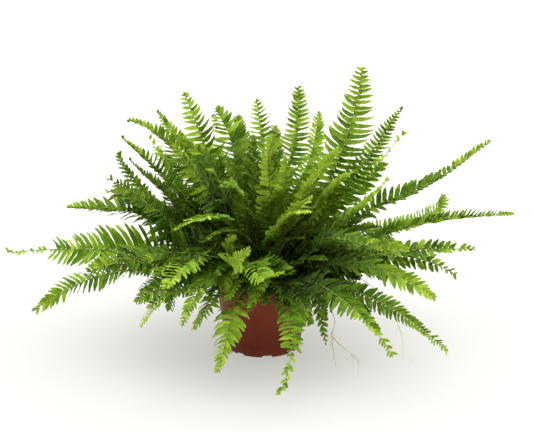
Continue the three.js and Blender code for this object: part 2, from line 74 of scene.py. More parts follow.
# Soil
SOIL_TOP = 90
SOIL = np.array([0, 0, SOIL_TOP])
SOIL_SIDES = 64
FIT_GAP = 0.3
LUMP_SIZE = 9
LUMP_HEIGHT = 5
CRUMB_COUNT = 520
SMALLEST_CRUMB = 1.4
CRUMB_GROWTH = 3.2

# Fronds: how the stalks stand in rings in the soil, from the centre out, as radius and count
CROWN_RINGS = [(9, 5), (20, 11), (31, 17), (43, 22)]
BARE_SHARE = 0.19
STALK_DEPTH = 6
# Width and thickness of the stalk at the soil and at the tip, and how it grows with the blade's width
STALK_WIDTH = (2.6, 1.1)
STALK_THICKNESS = (2.3, 1.0)
STALK_SCALE = (0.75, 1.05)
STALK_GROOVE = 0.35
WIDEST_HALF_WIDTH = 41
# How wavy a stalk grows, as shares of its reach, and how its blade twists, by the number of half waves, and
# the number of points that measure its curve
WAVES = {2: 0.016, 3: 0.009}
TWISTS = {2: 9, 3: 7, 5: 4}
CURVE_STEPS = 201
# The rolled-up end of a growing frond: its turns, how far it winds in, and how many of them roll upwards
COIL_TURNS = 1.35
COIL_WINDING = 0.72
COIL_UPWARD_SHARE = 0.7
SMALL_COIL = 1.1

# Leaflets: how long they are along the blade as shares of its half width, and how they sweep to its tip
WIDEST_SHARE = 0.38
FOOT_LENGTH = 0.62
TIP_LENGTH = 0.14
TAPERS = (0.5, 0.95)
SWEEP = (6, 34)
LEAFLET_THICKNESS = 0.6
WIDEST_LEAFLET = 9.5
# The step from one to the next, how it grows with the blade's half width, and its share at the tip
LEAFLET_STEP = 4.4
STEP_GROWTH = 0.11
TIP_STEP_SHARE = 0.58
# The ear at a leaflet's foot: how far it reaches and where it stands, as shares of the width and the length
EAR_REACH = 0.34
EAR_PLACE = 0.045
# Pointed leaflets are for the fronds whose tips stand above this height, and blunt ones for the others
TALL = 313
# How leaflets bend down and to the frond's tip, and how they turn at their feet and more at their tips,
# each as a mean and a swing, and the swings of their sweep, their rise and their length
DROOP = (18, 14)
HOOK = (22, 10)
ROLL = (-20, 15)
WRING = (0, 20)
SWEEP_SWING = 4.5
RISE_SWING = 11
LENGTH_SWING = 0.06
CUP = (0.05, 0.3)
RIPPLE = 0.22
# The turns up or down that a leaflet tries until it is clear of the pot, and how clear it must be
LIFTS = (0, 16, 34, -18, 55)
POT_CLEARANCE = 0.8
RIM_DEPTH = 7
SOIL_CLEARANCE = 2
TABLE_CLEARANCE = 1.5
# A worn tail has leaflets between these lengths, and has lost this share of them
WORN_LENGTHS = (4, 10)
LOST_SHARE = 0.25

# Freshness: 0 is the oldest and darkest leaf and 1 the youngest and palest. A frond's tone sets it, and it
# rises along the frond and along each leaflet, partly as young growth and partly as painted shade at their
# feet.
# It also carries the painted shade of the crowded fronds and of the hollows.
TONES = {"deep": 0.22, "green": 0.35, "young": 0.52}
FROND_SWING = 0.035
AT_FROND_FOOT = -0.18
TO_FROND_TIP = 0.62
TO_LEAFLET_TIP = 0.16
LEAFLET_SWING = 0.14
# Painted shade: the fronds that stand among others are given darker leaves
PAINTED_SHADE = 0.1
# Painted shade in two deep hollows in the plant: all that grows near them is given darker leaves
SHADED_HOLLOWS = ((-72, -56, 172), (72, -94, 104))
SHADED_HOLLOW_REACH = 62
PAINTED_HOLLOW_SHADE = 0.56

# One row a frond: its name, its tip's place, the pitch of its stalk at the soil and of its tip, how far the
# tip turns aside, the share of its length over which it holds each pitch, half its blade's width, how far
# the blade turns to the front at the soil and at the tip, the V that its leaflets make, and its tone
FRONDS = [
    ["left_long", [-350, -30, 147], 66, 2, 0, [0.3, 0.45], 41, [58, 70], 10, "young"],
    ["left_low_arch", [-305, -110, 91], 48, -26, 0, [0.3, 0.45], 27, [5, 62], 14, "green"],
    ["left_mid", [-275, 40, 190], 42, -20, 0, [0.4, 0.32], 34, [34, 22], 30, "green"],
    ["left_upturned", [-211, 110, 252], 42, 100, 0, [0.3, 0.3], 19, [30, 40], 15, "deep"],
    ["left_upturned_low", [-217, 20, 239], 46, 24, 0, [0.4, 0.38], 20, [40, 50], 15, "deep"],
    ["left_back_low", [-231, 130, 191], 46, 14, 0, [0.4, 0.38], 24, [20, 30], 15, "deep"],
    ["left_straight_high", [-199, 70, 284], 62, 38, 0, [0.4, 0.38], 30, [-4, 0], 42, "green"],
    ["left_straight_low", [-195, 130, 237], 56, 34, 0, [0.4, 0.38], 20, [-4, 0], 42, "deep"],
    ["left_high_a", [-195, 130, 297], 68, 18, 0, [0.4, 0.38], 34, [10, 14], 34, "green"],
    ["left_high_b", [-155, 160, 302], 68, 42, 0, [0.4, 0.38], 30, [20, 24], 26, "green"],
    ["left_wisp", [-170, 190, 257], 52, 76, 0, [0.45, 0.2], 16, [20, 20], 15, "young"],
    ["left_top", [-110, 70, 348], 75, 65, 0, [0.4, 0.38], 33, [42, 50], 10, "young"],
    ["top_dark", [-70, 170, 304], 84, 42, 0, [0.45, 0.38], 38, [30, 34], 10, "green"],
    ["top_left", [-9, 90, 335], 76, 78, 0, [0.4, 0.38], 33, [0, 8], 10, "young"],
    ["top_centre", [51, 110, 352], 83, 64, 0, [0.4, 0.38], 29, [12, 18], 10, "green"],
    ["top_back", [82, 178, 298], 72, 48, 0, [0.4, 0.38], 28, [15, 20], 10, "young"],
    ["top_tall", [138, 50, 390], 56, 78, 0, [0.42, 0.4], 41, [60, 68], 8, "green"],
    ["right_top_b", [197, 90, 323], 51, 44, 0, [0.4, 0.38], 28, [40, 48], 12, "green"],
    ["right_top_c", [208, 180, 266], 48, 44, 0, [0.4, 0.38], 20, [30, 30], 15, "young"],
    ["right_small", [167, -60, 259], 52, 40, 0, [0.4, 0.38], 14, [30, 30], 15, "young"],
    ["right_long_high", [320, 60, 282], 37, 24, 0, [0.3, 0.45], 25, [16, 20], 40, "green"],
    ["right_long_mid", [350, 20, 186], 37, -1, 0, [0.3, 0.42], 18, [6, 14], 48, "green"],
    ["right_upturned", [271, 160, 176], 38, 104, 0, [0.43, 0.2], 17, [-6, 85], 8, "young"],
    ["right_low_a", [286, -60, 161], 42, 2, 0, [0.3, 0.42], 20, [25, 40], 20, "green"],
    ["right_low_b", [264, -40, 118], 42, -22, 0, [0.36, 0.4], 24, [30, 50], 12, "green"],
    ["right_low_c", [228, -120, 111], 48, -36, 0, [0.36, 0.4], 29, [10, 30], 12, "young"],
    ["right_front_low", [237, -190, 67], 44, -24, 0, [0.36, 0.4], 19, [20, 40], 12, "green"],
    ["right_front_b", [164, -220, 71], 47, -46, 0, [0.36, 0.38], 27, [10, 20], 12, "green"],
    ["right_under", [86, -88, 34], 52, -80, 0, [0.9, 0.34], 15, [10, 10], 10, "young"],
    ["front_hanging_right", [21, -262, 37], 50, -44, -42, [0.36, 0.36], 21, [0, 0], 12, "young"],
    ["right_light", [193, -110, 175], 50, -10, 0, [0.4, 0.38], 25, [10, 15], 15, "green"],
    ["centre_tip_a", [81, -70, 278], 76, 44, 0, [0.4, 0.38], 20, [10, 20], 12, "young"],
    ["centre_tip_b", [63, -110, 247], 70, 30, 0, [0.4, 0.38], 19, [0, 10], 12, "young"],
    ["front_tip_a", [26, -240, 188], 55, 14, 68, [0.42, 0.3], 24, [0, 45], 12, "young"],
    ["front_tip_b", [-15, -240, 220], 52, 32, 72, [0.42, 0.3], 24, [0, 45], 12, "young"],
    ["front_left_a", [-159, -150, 84], 48, -42, 0, [0.38, 0.38], 16, [0, 10], 12, "young"],
    ["front_left_b", [-101, -220, 112], 56, -56, 0, [0.4, 0.38], 26, [0, 0], 12, "green"],
    ["front_left_c", [-88, -160, 84], 50, -58, 0, [0.4, 0.38], 23, [0, 0], 12, "young"],
    ["front_hanging_left", [-58, -200, 41], 52, -60, -36, [0.38, 0.38], 28, [0, 0], 12, "young"],
    ["front_left_arch", [-112, -170, 221], 72, -34, 0, [0.42, 0.38], 19, [0, 0], 12, "young"],
    ["front_left_light", [-123, -190, 150], 56, -32, 0, [0.4, 0.38], 26, [0, 0], 12, "young"],
    ["left_under", [-152, -100, 91], 50, -50, 0, [0.4, 0.38], 25, [10, 20], 12, "deep"],
    ["centre_left_big", [-120, -40, 300], 74, 48, 0, [0.4, 0.38], 38, [40, 40], 10, "green"],
    ["centre_up_a", [15, -30, 312], 84, 70, 0, [0.4, 0.38], 23, [0, 0], 10, "young"],
    ["centre_up_b", [30, -80, 297], 80, 56, -40, [0.4, 0.38], 22, [0, 0], 10, "young"],
    ["centre_right_a", [105, -30, 295], 72, 52, 0, [0.4, 0.38], 25, [30, 30], 10, "green"],
    ["front_low_centre", [0, -140, 130], 68, -40, 0, [0.4, 0.4], 19, [0, 0], 12, "deep"],
    ["front_low_left", [-46, -150, 120], 62, -50, 0, [0.4, 0.4], 20, [0, 0], 12, "green"],
    ["front_low_right", [62, -160, 96], 60, -58, 0, [0.45, 0.38], 20, [0, 0], 12, "green"],
    ["centre_front_a", [64, -125, 232], 74, 20, 20, [0.45, 0.38], 18, [0, 20], 12, "young"],
    ["centre_front_b", [-56, -110, 268], 76, 10, 0, [0.42, 0.38], 22, [20, 30], 12, "green"],
    ["centre_right_b", [118, -60, 268], 68, 36, 0, [0.4, 0.38], 22, [35, 40], 12, "green"],
    ["right_mid", [150, -140, 196], 60, -6, 0, [0.42, 0.38], 24, [20, 20], 12, "green"],
    ["left_front", [-140, -160, 158], 58, -24, 0, [0.42, 0.38], 28, [10, 10], 12, "deep"],
    ["left_mid_low", [-235, -70, 132], 54, -26, 0, [0.36, 0.4], 35, [15, 40], 12, "green"],
    ["back_right_low", [215, 110, 108], 46, -36, 0, [0.38, 0.38], 30, [0, 0], 12, "green"],
    ["back_right", [130, 205, 96], 50, -42, 0, [0.38, 0.38], 31, [0, 0], 12, "green"],
    ["back_low_a", [55, 262, 112], 52, -36, 0, [0.38, 0.38], 32, [0, 0], 12, "green"],
    ["back_low_b", [-25, 235, 82], 50, -50, 0, [0.38, 0.38], 28, [0, 0], 12, "deep"],
    ["back_left", [-95, 240, 118], 52, -32, 0, [0.38, 0.38], 31, [0, 0], 12, "green"],
    ["back_left_low", [-180, 170, 92], 48, -40, 0, [0.38, 0.38], 30, [0, 0], 12, "deep"],
    ["back_high_right", [105, 225, 225], 64, 2, 0, [0.4, 0.38], 32, [0, 0], 12, "green"],
    ["back_high", [15, 245, 205], 62, -6, 0, [0.4, 0.38], 32, [0, 0], 12, "young"],
    ["back_high_left", [-85, 220, 235], 66, 6, 0, [0.4, 0.38], 32, [0, 0], 12, "green"],
]
# The fronds that grow from another one's foot and share its piece
HOSTS = {
    "front_low_centre": "front_hanging_right",
    "front_low_left": "front_hanging_left",
    "front_low_right": "right_front_b",
    "centre_front_a": "centre_up_b",
    "centre_front_b": "front_left_arch",
    "centre_right_b": "centre_right_a",
    "right_mid": "right_light",
    "left_front": "front_left_a",
    "left_mid_low": "left_low_arch",
}

# How single fronds differ: the share of the blade that is a worn tail, how fast the leaflets shorten to
# the tip, the size of the coil that the tip ends in, how far apart the leaflets stand, how many degrees more
# they sweep to the tip, and how much paler they are
HABITS = {
    "left_long": {"tail": 0.22, "taper": 1.6, "closeness": 0.94, "paler": -0.07},
    "left_low_arch": {"tail": 0.07, "taper": 0.7, "paler": 0.12},
    "left_mid": {"paler": 0.05, "closeness": 0.92},
    "left_upturned": {"tail": 0.08, "closeness": 1.35, "paler": 0.12},
    "left_upturned_low": {"tail": 0.1, "paler": 0.1},
    "left_back_low": {"tail": 0.1, "paler": 0.1},
    "left_straight_high": {"taper": 1.2, "coil": 2.4, "paler": 0.08},
    "left_straight_low": {"taper": 1.2, "coil": 2.2, "paler": 0.12},
    "left_high_a": {"taper": 1.1, "coil": 2.2, "paler": 0.05},
    "left_high_b": {"taper": 1.1, "coil": 2.4, "paler": 0.06},
    "left_wisp": {"tail": 0.08, "closeness": 1.2},
    "left_top": {"taper": 0.8, "coil": 2.4, "closeness": 1.15, "sweep": -14, "paler": -0.08},
    "top_dark": {"taper": 0.55, "closeness": 1.2, "sweep": -8, "paler": 0.05},
    "top_left": {"taper": 0.8, "coil": 2.3, "sweep": -12},
    "top_centre": {"taper": 0.7, "sweep": -12, "paler": 0.04},
    "top_tall": {"taper": 0.75, "sweep": -18, "paler": 0.17},
    "right_top_b": {"taper": 1.1, "coil": 2.7, "sweep": -18, "paler": 0.07},
    "right_top_c": {"tail": 0.24, "coil": 2.4, "closeness": 1.5, "paler": -0.03},
    "right_small": {"tail": 0.2, "closeness": 1.3, "paler": -0.06},
    "right_long_high": {"taper": 0.62, "closeness": 1.2, "paler": 0.1},
    "right_long_mid": {"taper": 0.4, "closeness": 0.95, "sweep": 14, "paler": 0.14},
    "right_upturned": {"taper": 0.25, "closeness": 0.85},
    "right_low_a": {"tail": 0.14, "closeness": 1.45, "paler": 0.08},
    "right_low_b": {"tail": 0.14, "closeness": 1.4, "paler": 0.1},
    "right_front_low": {"tail": 0.14, "taper": 1.5, "paler": 0.14},
    "right_front_b": {"tail": 0.2, "taper": 1.6, "paler": 0.12},
    "front_hanging_right": {"tail": 0.3, "paler": -0.16},
    "right_under": {"closeness": 1.6, "paler": 0.05},
    "centre_tip_a": {"closeness": 1.2, "sweep": -8, "paler": 0.18},
    "centre_tip_b": {"closeness": 1.2, "sweep": -8, "paler": 0.2},
    "front_tip_a": {"paler": -0.14},
    "front_tip_b": {"paler": -0.14},
    "centre_up_a": {"closeness": 1.2, "sweep": -8, "paler": 0.18},
    "centre_up_b": {"closeness": 1.2, "sweep": -8, "paler": 0.22},
    "centre_right_a": {"closeness": 1.2, "sweep": -8, "paler": 0.18},
    "centre_front_a": {"paler": 0.2},
    "centre_right_b": {"closeness": 1.2, "sweep": -8, "paler": 0.18},
}
COMMON_HABIT = {"tail": 0.0, "coil": SMALL_COIL, "closeness": 1.0, "sweep": 0, "paler": 0.0}

# Sister fronds: for each frond two younger ones from beside its foot, shorter and turned aside, which fill
# the gaps to the next
SISTER_SECTORS = 8
SISTER_REACHES = ((0.6, 0.84), (0.4, 0.62))
SISTER_STEP_ASIDE = 5
SISTER_TURN = (6, 17)
WIDEST_SISTER = 24
# The longest to the left, to the right, where the plant is more open, and among the hanging ones
LONGEST_LEFT_SISTER = 255
LONGEST_RIGHT_SISTER = 140
LONGEST_HANGING_SISTER = 150
# The sisters of steep fronds are taller
STEEP = 72
STEEP_SHARE = 0.1
# Sisters stand among others, so their leaves carry half the painted shade
SISTER_HABIT = {"closeness": 0.8, "coil": 1.0, "paler": -PAINTED_SHADE / 2}
# The pot's face shows this far to each side of its axis, and before it none ends lower over the soil
POT_FACE = 65
LOWEST_BEFORE_POT = 16

# Inner fronds: shorter ones that fill the heart of the plant, set round the crown by the golden angle. Each
# range is from the innermost to the outermost.
INNER_COUNT = 44
INNER_SECTORS = ("right", "back", "left", "front")
INNER_FOOT = (6, 46)
INNER_REACH = (45, 150)
INNER_TIP = (265, 128)
INNER_RISE = (84, 62)
INNER_END = (60, -42)
# Inner fronds carry the full painted shade
INNER_HABIT = {"closeness": 0.75, "coil": 1.0, "paler": -PAINTED_SHADE}

# Runners: a foot on the soil and strands through given points; the first strand rises upright
RUNNER_WIDTH = 1.3
RUNNER_POINTS = 60
RUNNER_UPRIGHT = (-5, 1.3, 10)
RUNNERS = {
    "front_right": (
        (50, -24),
        [
            [(62, -42, 114), (82, -72, 100), (97, -90, 69), (93, -100, 52), (98, -130, 17)],
            [(93, -100, 52), (100, -110, 46), (112, -120, 39), (130, -130, 26)],
        ],
    ),
    "right": (
        (52, -14),
        [
            [
                (72, -30, 122),
                (118, -70, 130),
                (164, -100, 105),
                (173, -105, 87),
                (185, -120, 60),
                (187, -140, 34),
            ],
        ],
    ),
    "left": (
        (-51, 16),
        [[(-72, 24, 128), (-130, 40, 172), (-188, 50, 204), (-225, 58, 207), (-260, 58, 203)]],
    ),
}
# Rootlets hang from a strand's outer half, between these of its points
ROOTLET_PLACES = (28, 58)
ROOTLET_COUNT = 7
ROOTLET_LENGTH = (7, 18)

# Dead frond feet: short broken stalks that stand between the living ones, splayed out in a ring
STUB_COUNT = 26
STUB_RING = (8, 50)
STUB_HEIGHT = (14, 34)
STUB_WIDTHS = (3.6, 3.0, 2.5, 2.2, 2.0, 0.8)

# The photograph's viewing angle: looking along +Y, a little down
CAMERA_TARGET = (5, 0, 190)
CAMERA_DISTANCE = 2000
CAMERA_PITCH = 16.5
CAMERA_LENS = 97.5

# A wide bank of light under the ceiling, a little to the front and right, and the light of pale walls
CEILING_LIGHT_TURN = (-4, 3, 0)
CEILING_LIGHT_SPREAD = 110
CEILING_LIGHT = 5.75
WALL_LIGHT = 1.36
# Painted light: how strongly the table's surface glows, from this far behind the pot to that
PAINTED_TABLE_GLOW = (0.43, 0.6)
PAINTED_GLOW_REACH = (100, 900)
TABLE_RADIUS = 14000


# Small helpers
def mix(a, b, share):
    return a + (b - a) * share


def unit(vectors):
    return vectors / np.linalg.norm(vectors, axis=-1, keepdims=True)


def heading(angle, pitch=0.0):
    """The direction at a bearing and a pitch, in radians"""
    level = math.cos(pitch)
    return np.array([math.cos(angle) * level, math.sin(angle) * level, math.sin(pitch)])


def linear(hex_colour):
    """An sRGB hex colour as linear red, green, blue and alpha"""
    channels = [int(hex_colour[i : i + 2], 16) / 255 for i in (1, 3, 5)]
    return (*(c / 12.92 if c <= 0.04045 else ((c + 0.055) / 1.055) ** 2.4 for c in channels), 1.0)


def add_node(tree, kind, feeds=(), stops=(), **settings):
    """A node with its settings and, if it is a colour ramp, its stops, the two ends first. What feeds its
    inputs, in their order or by name, is an output, a node whose output is in use, or a value."""
    node = tree.nodes.new("ShaderNode" + kind)
    for name, value in settings.items():
        setattr(node, name, value)
    for index, (place, hex_colour) in enumerate(stops):
        ramp = node.color_ramp.elements
        stop = ramp[index] if index < 2 else ramp.new(place)
        stop.position = place
        stop.color = linear(hex_colour)
    pairs = feeds.items() if isinstance(feeds, dict) else enumerate(feeds)
    for socket, source in pairs:
        if isinstance(source, bpy.types.Node):
            source = next(output for output in source.outputs if output.enabled)
        if isinstance(source, bpy.types.NodeSocket):
            tree.links.new(source, node.inputs[socket])
        else:
            node.inputs[socket].default_value = source
    return node


def make_material(name, surface, *colours):
    """A material from a function that adds its nodes and says what feeds its shader"""
    material = bpy.data.materials.new(name)
    material.use_nodes = True
    material.node_tree.nodes.clear()
    add = partial(add_node, material.node_tree)
    place = add("TexCoord").outputs
    add("OutputMaterial", [add("BsdfPrincipled", surface(add, place, *colours))])
    return material


# Materials. Most values of a noise lie in this span. A MapRange node is fed with a value, the span that it
# comes in and the span that it goes to.
NOISE_SPAN = (0.3, 0.7)


def fern_leaf(add, place, oldest, middle, youngest):
    """Living fern leaf: matt and a little waxy, so it shines softly along its folds. It is palest at its
    tip and margins, and the paler margin is a painted highlight. It has a pale midrib and side veins, lets
    some light through, and its colour carries painted shade."""
    # The leaf's age, together with painted shade
    age_and_shade = add("Attribute", attribute_name="freshness_and_shade").outputs["Fac"]
    under = add("Attribute", attribute_name="underside").outputs["Fac"]
    blade = add("SeparateXYZ", [place["UV"]]).outputs
    # How far across from the midrib, 0 to 1 at the margin
    across = add("Math", [blade["X"], 0.5], operation="SUBTRACT")
    across = add("Math", [across], operation="ABSOLUTE")
    across = add("Math", [across, 2.0], operation="MULTIPLY")
    # Mottling in patches of about 5 mm, and a margin that is paler than the middle: a painted highlight along
    # the edge
    mottle = add("TexNoise", {"Vector": place["Object"], "Scale": 1 / (5 * MM), "Detail": 2.0})
    patches = add("MapRange", [mottle, *NOISE_SPAN, -0.09, 0.09])
    margin = add("MapRange", [across, 0.5, 1.0, -0.03, 0.26])
    tone_with_painted_light = add("Math", [age_and_shade, patches], operation="ADD")
    tone_with_painted_light = add("Math", [tone_with_painted_light, margin], operation="ADD")
    tones = add("ValToRGB", [tone_with_painted_light], stops=[(0.0, oldest), (1.0, youngest), (0.5, middle)])
    # The midrib, a tenth of the leaflet wide, and side veins that slant to the tip, 18 along the leaflet
    rib = add("MapRange", [across, 0.05, 0.16, 1.0, 0.0])
    slant = add("Math", [across, -0.07, blade["Y"]], operation="MULTIPLY_ADD")
    veins = add("Math", [slant, 18 * 2 * math.pi], operation="MULTIPLY")
    veins = add("Math", [veins], operation="SINE")
    height = add("Math", [rib, -2.0, veins], operation="MULTIPLY_ADD")
    # The midrib is paler, and the underside paler and duller
    rib_tint = add("Math", [rib, 0.2], operation="MULTIPLY")
    colour = add("Mix", {"Factor": rib_tint, "A": tones, "B": linear("#8FA83C")}, data_type="RGBA")
    under_tint = add("Math", [under, 0.14], operation="MULTIPLY")
    colour = add("Mix", {"Factor": under_tint, "A": colour, "B": linear("#7A9436")}, data_type="RGBA")
    return {
        "Base Color": colour,
        "Roughness": add("MapRange", [mottle, *NOISE_SPAN, 0.5, 0.66]),
        "Normal": add("Bump", {"Height": height, "Strength": 0.35, "Distance": 0.12 * MM}),
        "Subsurface Weight": 0.25,
        "Subsurface Radius": (0.9, 1.5, 0.15),
        "Subsurface Scale": 1 * MM,
        "Specular IOR Level": 0.06,
    }


def fern_stalk(add, place):
    """Fern stalk: a wiry green rib, whose thin brown skin at the foot gives the crown its dull brown"""
    age_and_shade = add("Attribute", attribute_name="freshness_and_shade").outputs["Fac"]
    # Streaks and scales of about 2 mm
    flecks = add("TexNoise", {"Vector": place["Object"], "Scale": 1 / (2 * MM), "Detail": 3.0})
    patches = add("MapRange", [flecks, *NOISE_SPAN, -0.15, 0.15])
    tone_with_painted_light = add("Math", [age_and_shade, patches], operation="ADD")
    tones = [(0.0, "#2A1F0D"), (1.0, "#7F8A36"), (0.3, "#56621F")]
    return {
        "Base Color": add("ValToRGB", [tone_with_painted_light], stops=tones),
        "Roughness": 0.5,
        "Normal": add("Bump", {"Height": flecks, "Strength": 0.4, "Distance": 0.3 * MM}),
        "Specular IOR Level": 0.25,
    }


def moulded_pot_plastic(add, place):
    """Injection-moulded polypropylene in a brown terracotta colour: smooth and half glossy, with faint draw
    marks up its wall, painted lighter towards the rim as painted light from above, and dusted with dried
    water and peat near its foot"""
    # Draw marks run up the wall, about 3 mm apart
    stretch = add("Mapping", {"Vector": place["Object"], "Scale": (1, 1, 0.04)})
    marks = add("TexNoise", {"Vector": stretch, "Scale": 1 / (3 * MM), "Detail": 2.0})
    # Moulding grain of about half a millimetre, and clouds in the colour of about 22 mm
    grain = add("TexNoise", {"Vector": place["Object"], "Scale": 1 / (0.5 * MM), "Detail": 1.0})
    clouds = add("TexNoise", {"Vector": place["Object"], "Scale": 1 / (22 * MM), "Detail": 3.0})
    tones = add("ValToRGB", [clouds], stops=[(0.25, "#551C08"), (0.75, "#5F220F")])
    height = add("SeparateXYZ", [place["Object"]]).outputs["Z"]
    # Painted light from above: the wall's colour grows lighter towards the rim
    painted_top_light = add("MapRange", [height, 15 * MM, 95 * MM, 0.0, 1.0])
    colour = add("Mix", {"Factor": painted_top_light, "A": tones, "B": linear("#7B3620")}, data_type="RGBA")
    low = add("MapRange", [height, 1 * MM, 14 * MM, 0.4, 0.0])
    dust = add("Math", [low, clouds], operation="MULTIPLY")
    roughening = add("Math", [grain, 0.35, marks], operation="MULTIPLY_ADD")
    return {
        "Base Color": add("Mix", {"Factor": dust, "A": colour, "B": linear("#6B4636")}, data_type="RGBA"),
        "Roughness": add("MapRange", [marks, *NOISE_SPAN, 0.38, 0.5]),
        "Normal": add("Bump", {"Height": roughening, "Strength": 0.25, "Distance": 0.1 * MM}),
        "Specular IOR Level": 0.15,
    }


def peat_soil(add, place):
    """Damp peat compost: nearly black, crumbly and without gloss, with paler fibres"""
    # Crumbs of about 3 mm and fibres of about 1 mm
    crumbs = add("TexVoronoi", {"Vector": place["Object"], "Scale": 1 / (3 * MM)})
    fibres = add("TexNoise", {"Vector": place["Object"], "Scale": 1 / (1 * MM), "Detail": 3.0})
    height = add("Math", [crumbs, fibres], operation="ADD")
    tones = [(0.35, "#1B120C"), (0.75, "#59412A"), (0.6, "#33241A")]
    return {
        "Base Color": add("ValToRGB", [fibres], stops=tones),
        "Roughness": 0.92,
        "Normal": add("Bump", {"Height": height, "Strength": 0.8, "Distance": 0.8 * MM}),
    }


def dry_runner(add, place):
    """Runner: a thin wiry stem, tan and dry, with darker joints about 6 mm apart where old scales sat"""
    bands = add("TexNoise", {"Vector": place["Object"], "Scale": 1 / (6 * MM), "Detail": 2.0})
    return {
        "Base Color": add("ValToRGB", [bands], stops=[(0.3, "#8C8A42"), (0.7, "#C3B37C")]),
        "Roughness": 0.6,
        "Normal": add("Bump", {"Height": bands, "Strength": 0.5, "Distance": 0.2 * MM}),
    }


def dead_stalk(add, place):
    """Dead frond foot: dry, dark brown and broken off short, with upright fibres of about 0.8 mm"""
    stretch = add("Mapping", {"Vector": place["Object"], "Scale": (1, 1, 0.2)})
    fibres = add("TexNoise", {"Vector": stretch, "Scale": 1 / (0.8 * MM), "Detail": 3.0})
    return {
        "Base Color": add("ValToRGB", [fibres], stops=[(0.35, "#2E1D10"), (0.7, "#6E4D2C")]),
        "Roughness": 0.8,
        "Normal": add("Bump", {"Height": fibres, "Strength": 0.6, "Distance": 0.4 * MM}),
    }


def table_with_painted_glow(add, place):
    """A matt, slightly warm shooting table with a dark grey surface that glows with painted light, more
    strongly behind the plant, so it looks off-white and the plant's shadow stays soft and light on it"""
    clouds = add("TexNoise", {"Vector": place["Object"], "Scale": 1 / (400 * MM), "Detail": 2.0})
    depth = add("SeparateXYZ", [place["Object"]]).outputs["Y"]
    near, far = PAINTED_GLOW_REACH
    return {
        "Base Color": add("ValToRGB", [clouds], stops=[(0.0, "#747472"), (1.0, "#787876")]),
        "Roughness": 0.9,
        # Painted light: the surface glows though no lamp lies beneath it
        "Emission Color": linear("#FFFEF6"),
        "Emission Strength": add("MapRange", [depth, near * MM, far * MM, *PAINTED_TABLE_GLOW]),
    }


# Modelling helpers
def deselect():
    if bpy.context.object and bpy.context.object.mode != "OBJECT":
        bpy.ops.object.mode_set(mode="OBJECT")
    bpy.ops.object.select_all(action="DESELECT")


def select_only(piece):
    deselect()
    piece.select_set(True)
    bpy.context.view_layer.objects.active = piece


def finish_piece(name):
    """Leaves edit mode, names the piece and puts its place in its mesh"""
    bpy.ops.object.mode_set(mode="OBJECT")
    piece = bpy.context.object
    piece.name = name
    piece.data.name = name
    bpy.ops.object.transform_apply(location=True, rotation=True, scale=True)
    return piece


def draw_out(name, profile, sides):
    """A round solid: a disc at the first radius and height of a profile, drawn out through the rest of it"""
    deselect()
    (radius, height), *rest = profile
    bpy.ops.mesh.primitive_circle_add(
        vertices=sides, radius=radius * MM, fill_type="NGON", location=(0, 0, height * MM)
    )
    bpy.ops.object.mode_set(mode="EDIT")
    bpy.ops.mesh.select_all(action="SELECT")
    for next_radius, next_height in rest:
        rise = (0, 0, (next_height - height) * MM)
        bpy.ops.mesh.extrude_region_move(TRANSFORM_OT_translate={"value": rise})
        ratio = next_radius / radius
        bpy.ops.transform.resize(value=(ratio, ratio, 1), center_override=(0, 0, next_height * MM))
        radius, height = next_radius, next_height
    bpy.ops.mesh.select_all(action="SELECT")
    bpy.ops.mesh.normals_make_consistent(inside=False)
    return finish_piece(name)


def apply_modifiers(piece):
    select_only(piece)
    for modifier in list(piece.modifiers):
        bpy.ops.object.modifier_apply(modifier=modifier.name)


def cut_away(piece, cutter):
    """Takes the cutter's shape out of the piece and deletes the cutter"""
    cut = piece.modifiers.new("cut", "BOOLEAN")
    cut.operation = "DIFFERENCE"
    cut.solver = "EXACT"
    cut.object = cutter
    apply_modifiers(piece)
    bpy.data.objects.remove(cutter)


def smooth_faces(piece, degrees):
    select_only(piece)
    bpy.ops.object.shade_smooth_by_angle(angle=math.radians(degrees))


def give_material(piece, material):
    piece.data.materials.clear()
    piece.data.materials.append(material)


def take_shape(piece):
    """A modelled shape's corner places and its faces, ready to be copied; the model itself is removed"""
    corners = np.array([v.co[:] for v in piece.data.vertices])
    faces = [list(face.vertices) for face in piece.data.polygons]
    bpy.data.objects.remove(piece)
    return corners, faces


def copy_faces(faces, corner_count, copies):
    """The faces of some copies of a shape whose corners follow each other"""
    return [[k + n * corner_count for k in face] for n in range(copies) for face in faces]


def link_mesh(name, corners, faces, materials):
    mesh = bpy.data.meshes.new(name)
    mesh.from_pydata(corners * MM, [], faces)
    piece = bpy.data.objects.new(name, mesh)
    bpy.context.collection.objects.link(piece)
    for material in materials:
        mesh.materials.append(material)
    return piece


# Pot
wall_slope = (POT_TOP_RADIUS - COLLAR_STEP - POT_FOOT_RADIUS) / POT_HEIGHT
collar_bottom = POT_HEIGHT - COLLAR_HEIGHT
floor_top = FOOT_HEIGHT + FLOOR_THICKNESS


def wall_radius(height):
    return POT_FOOT_RADIUS + wall_slope * height


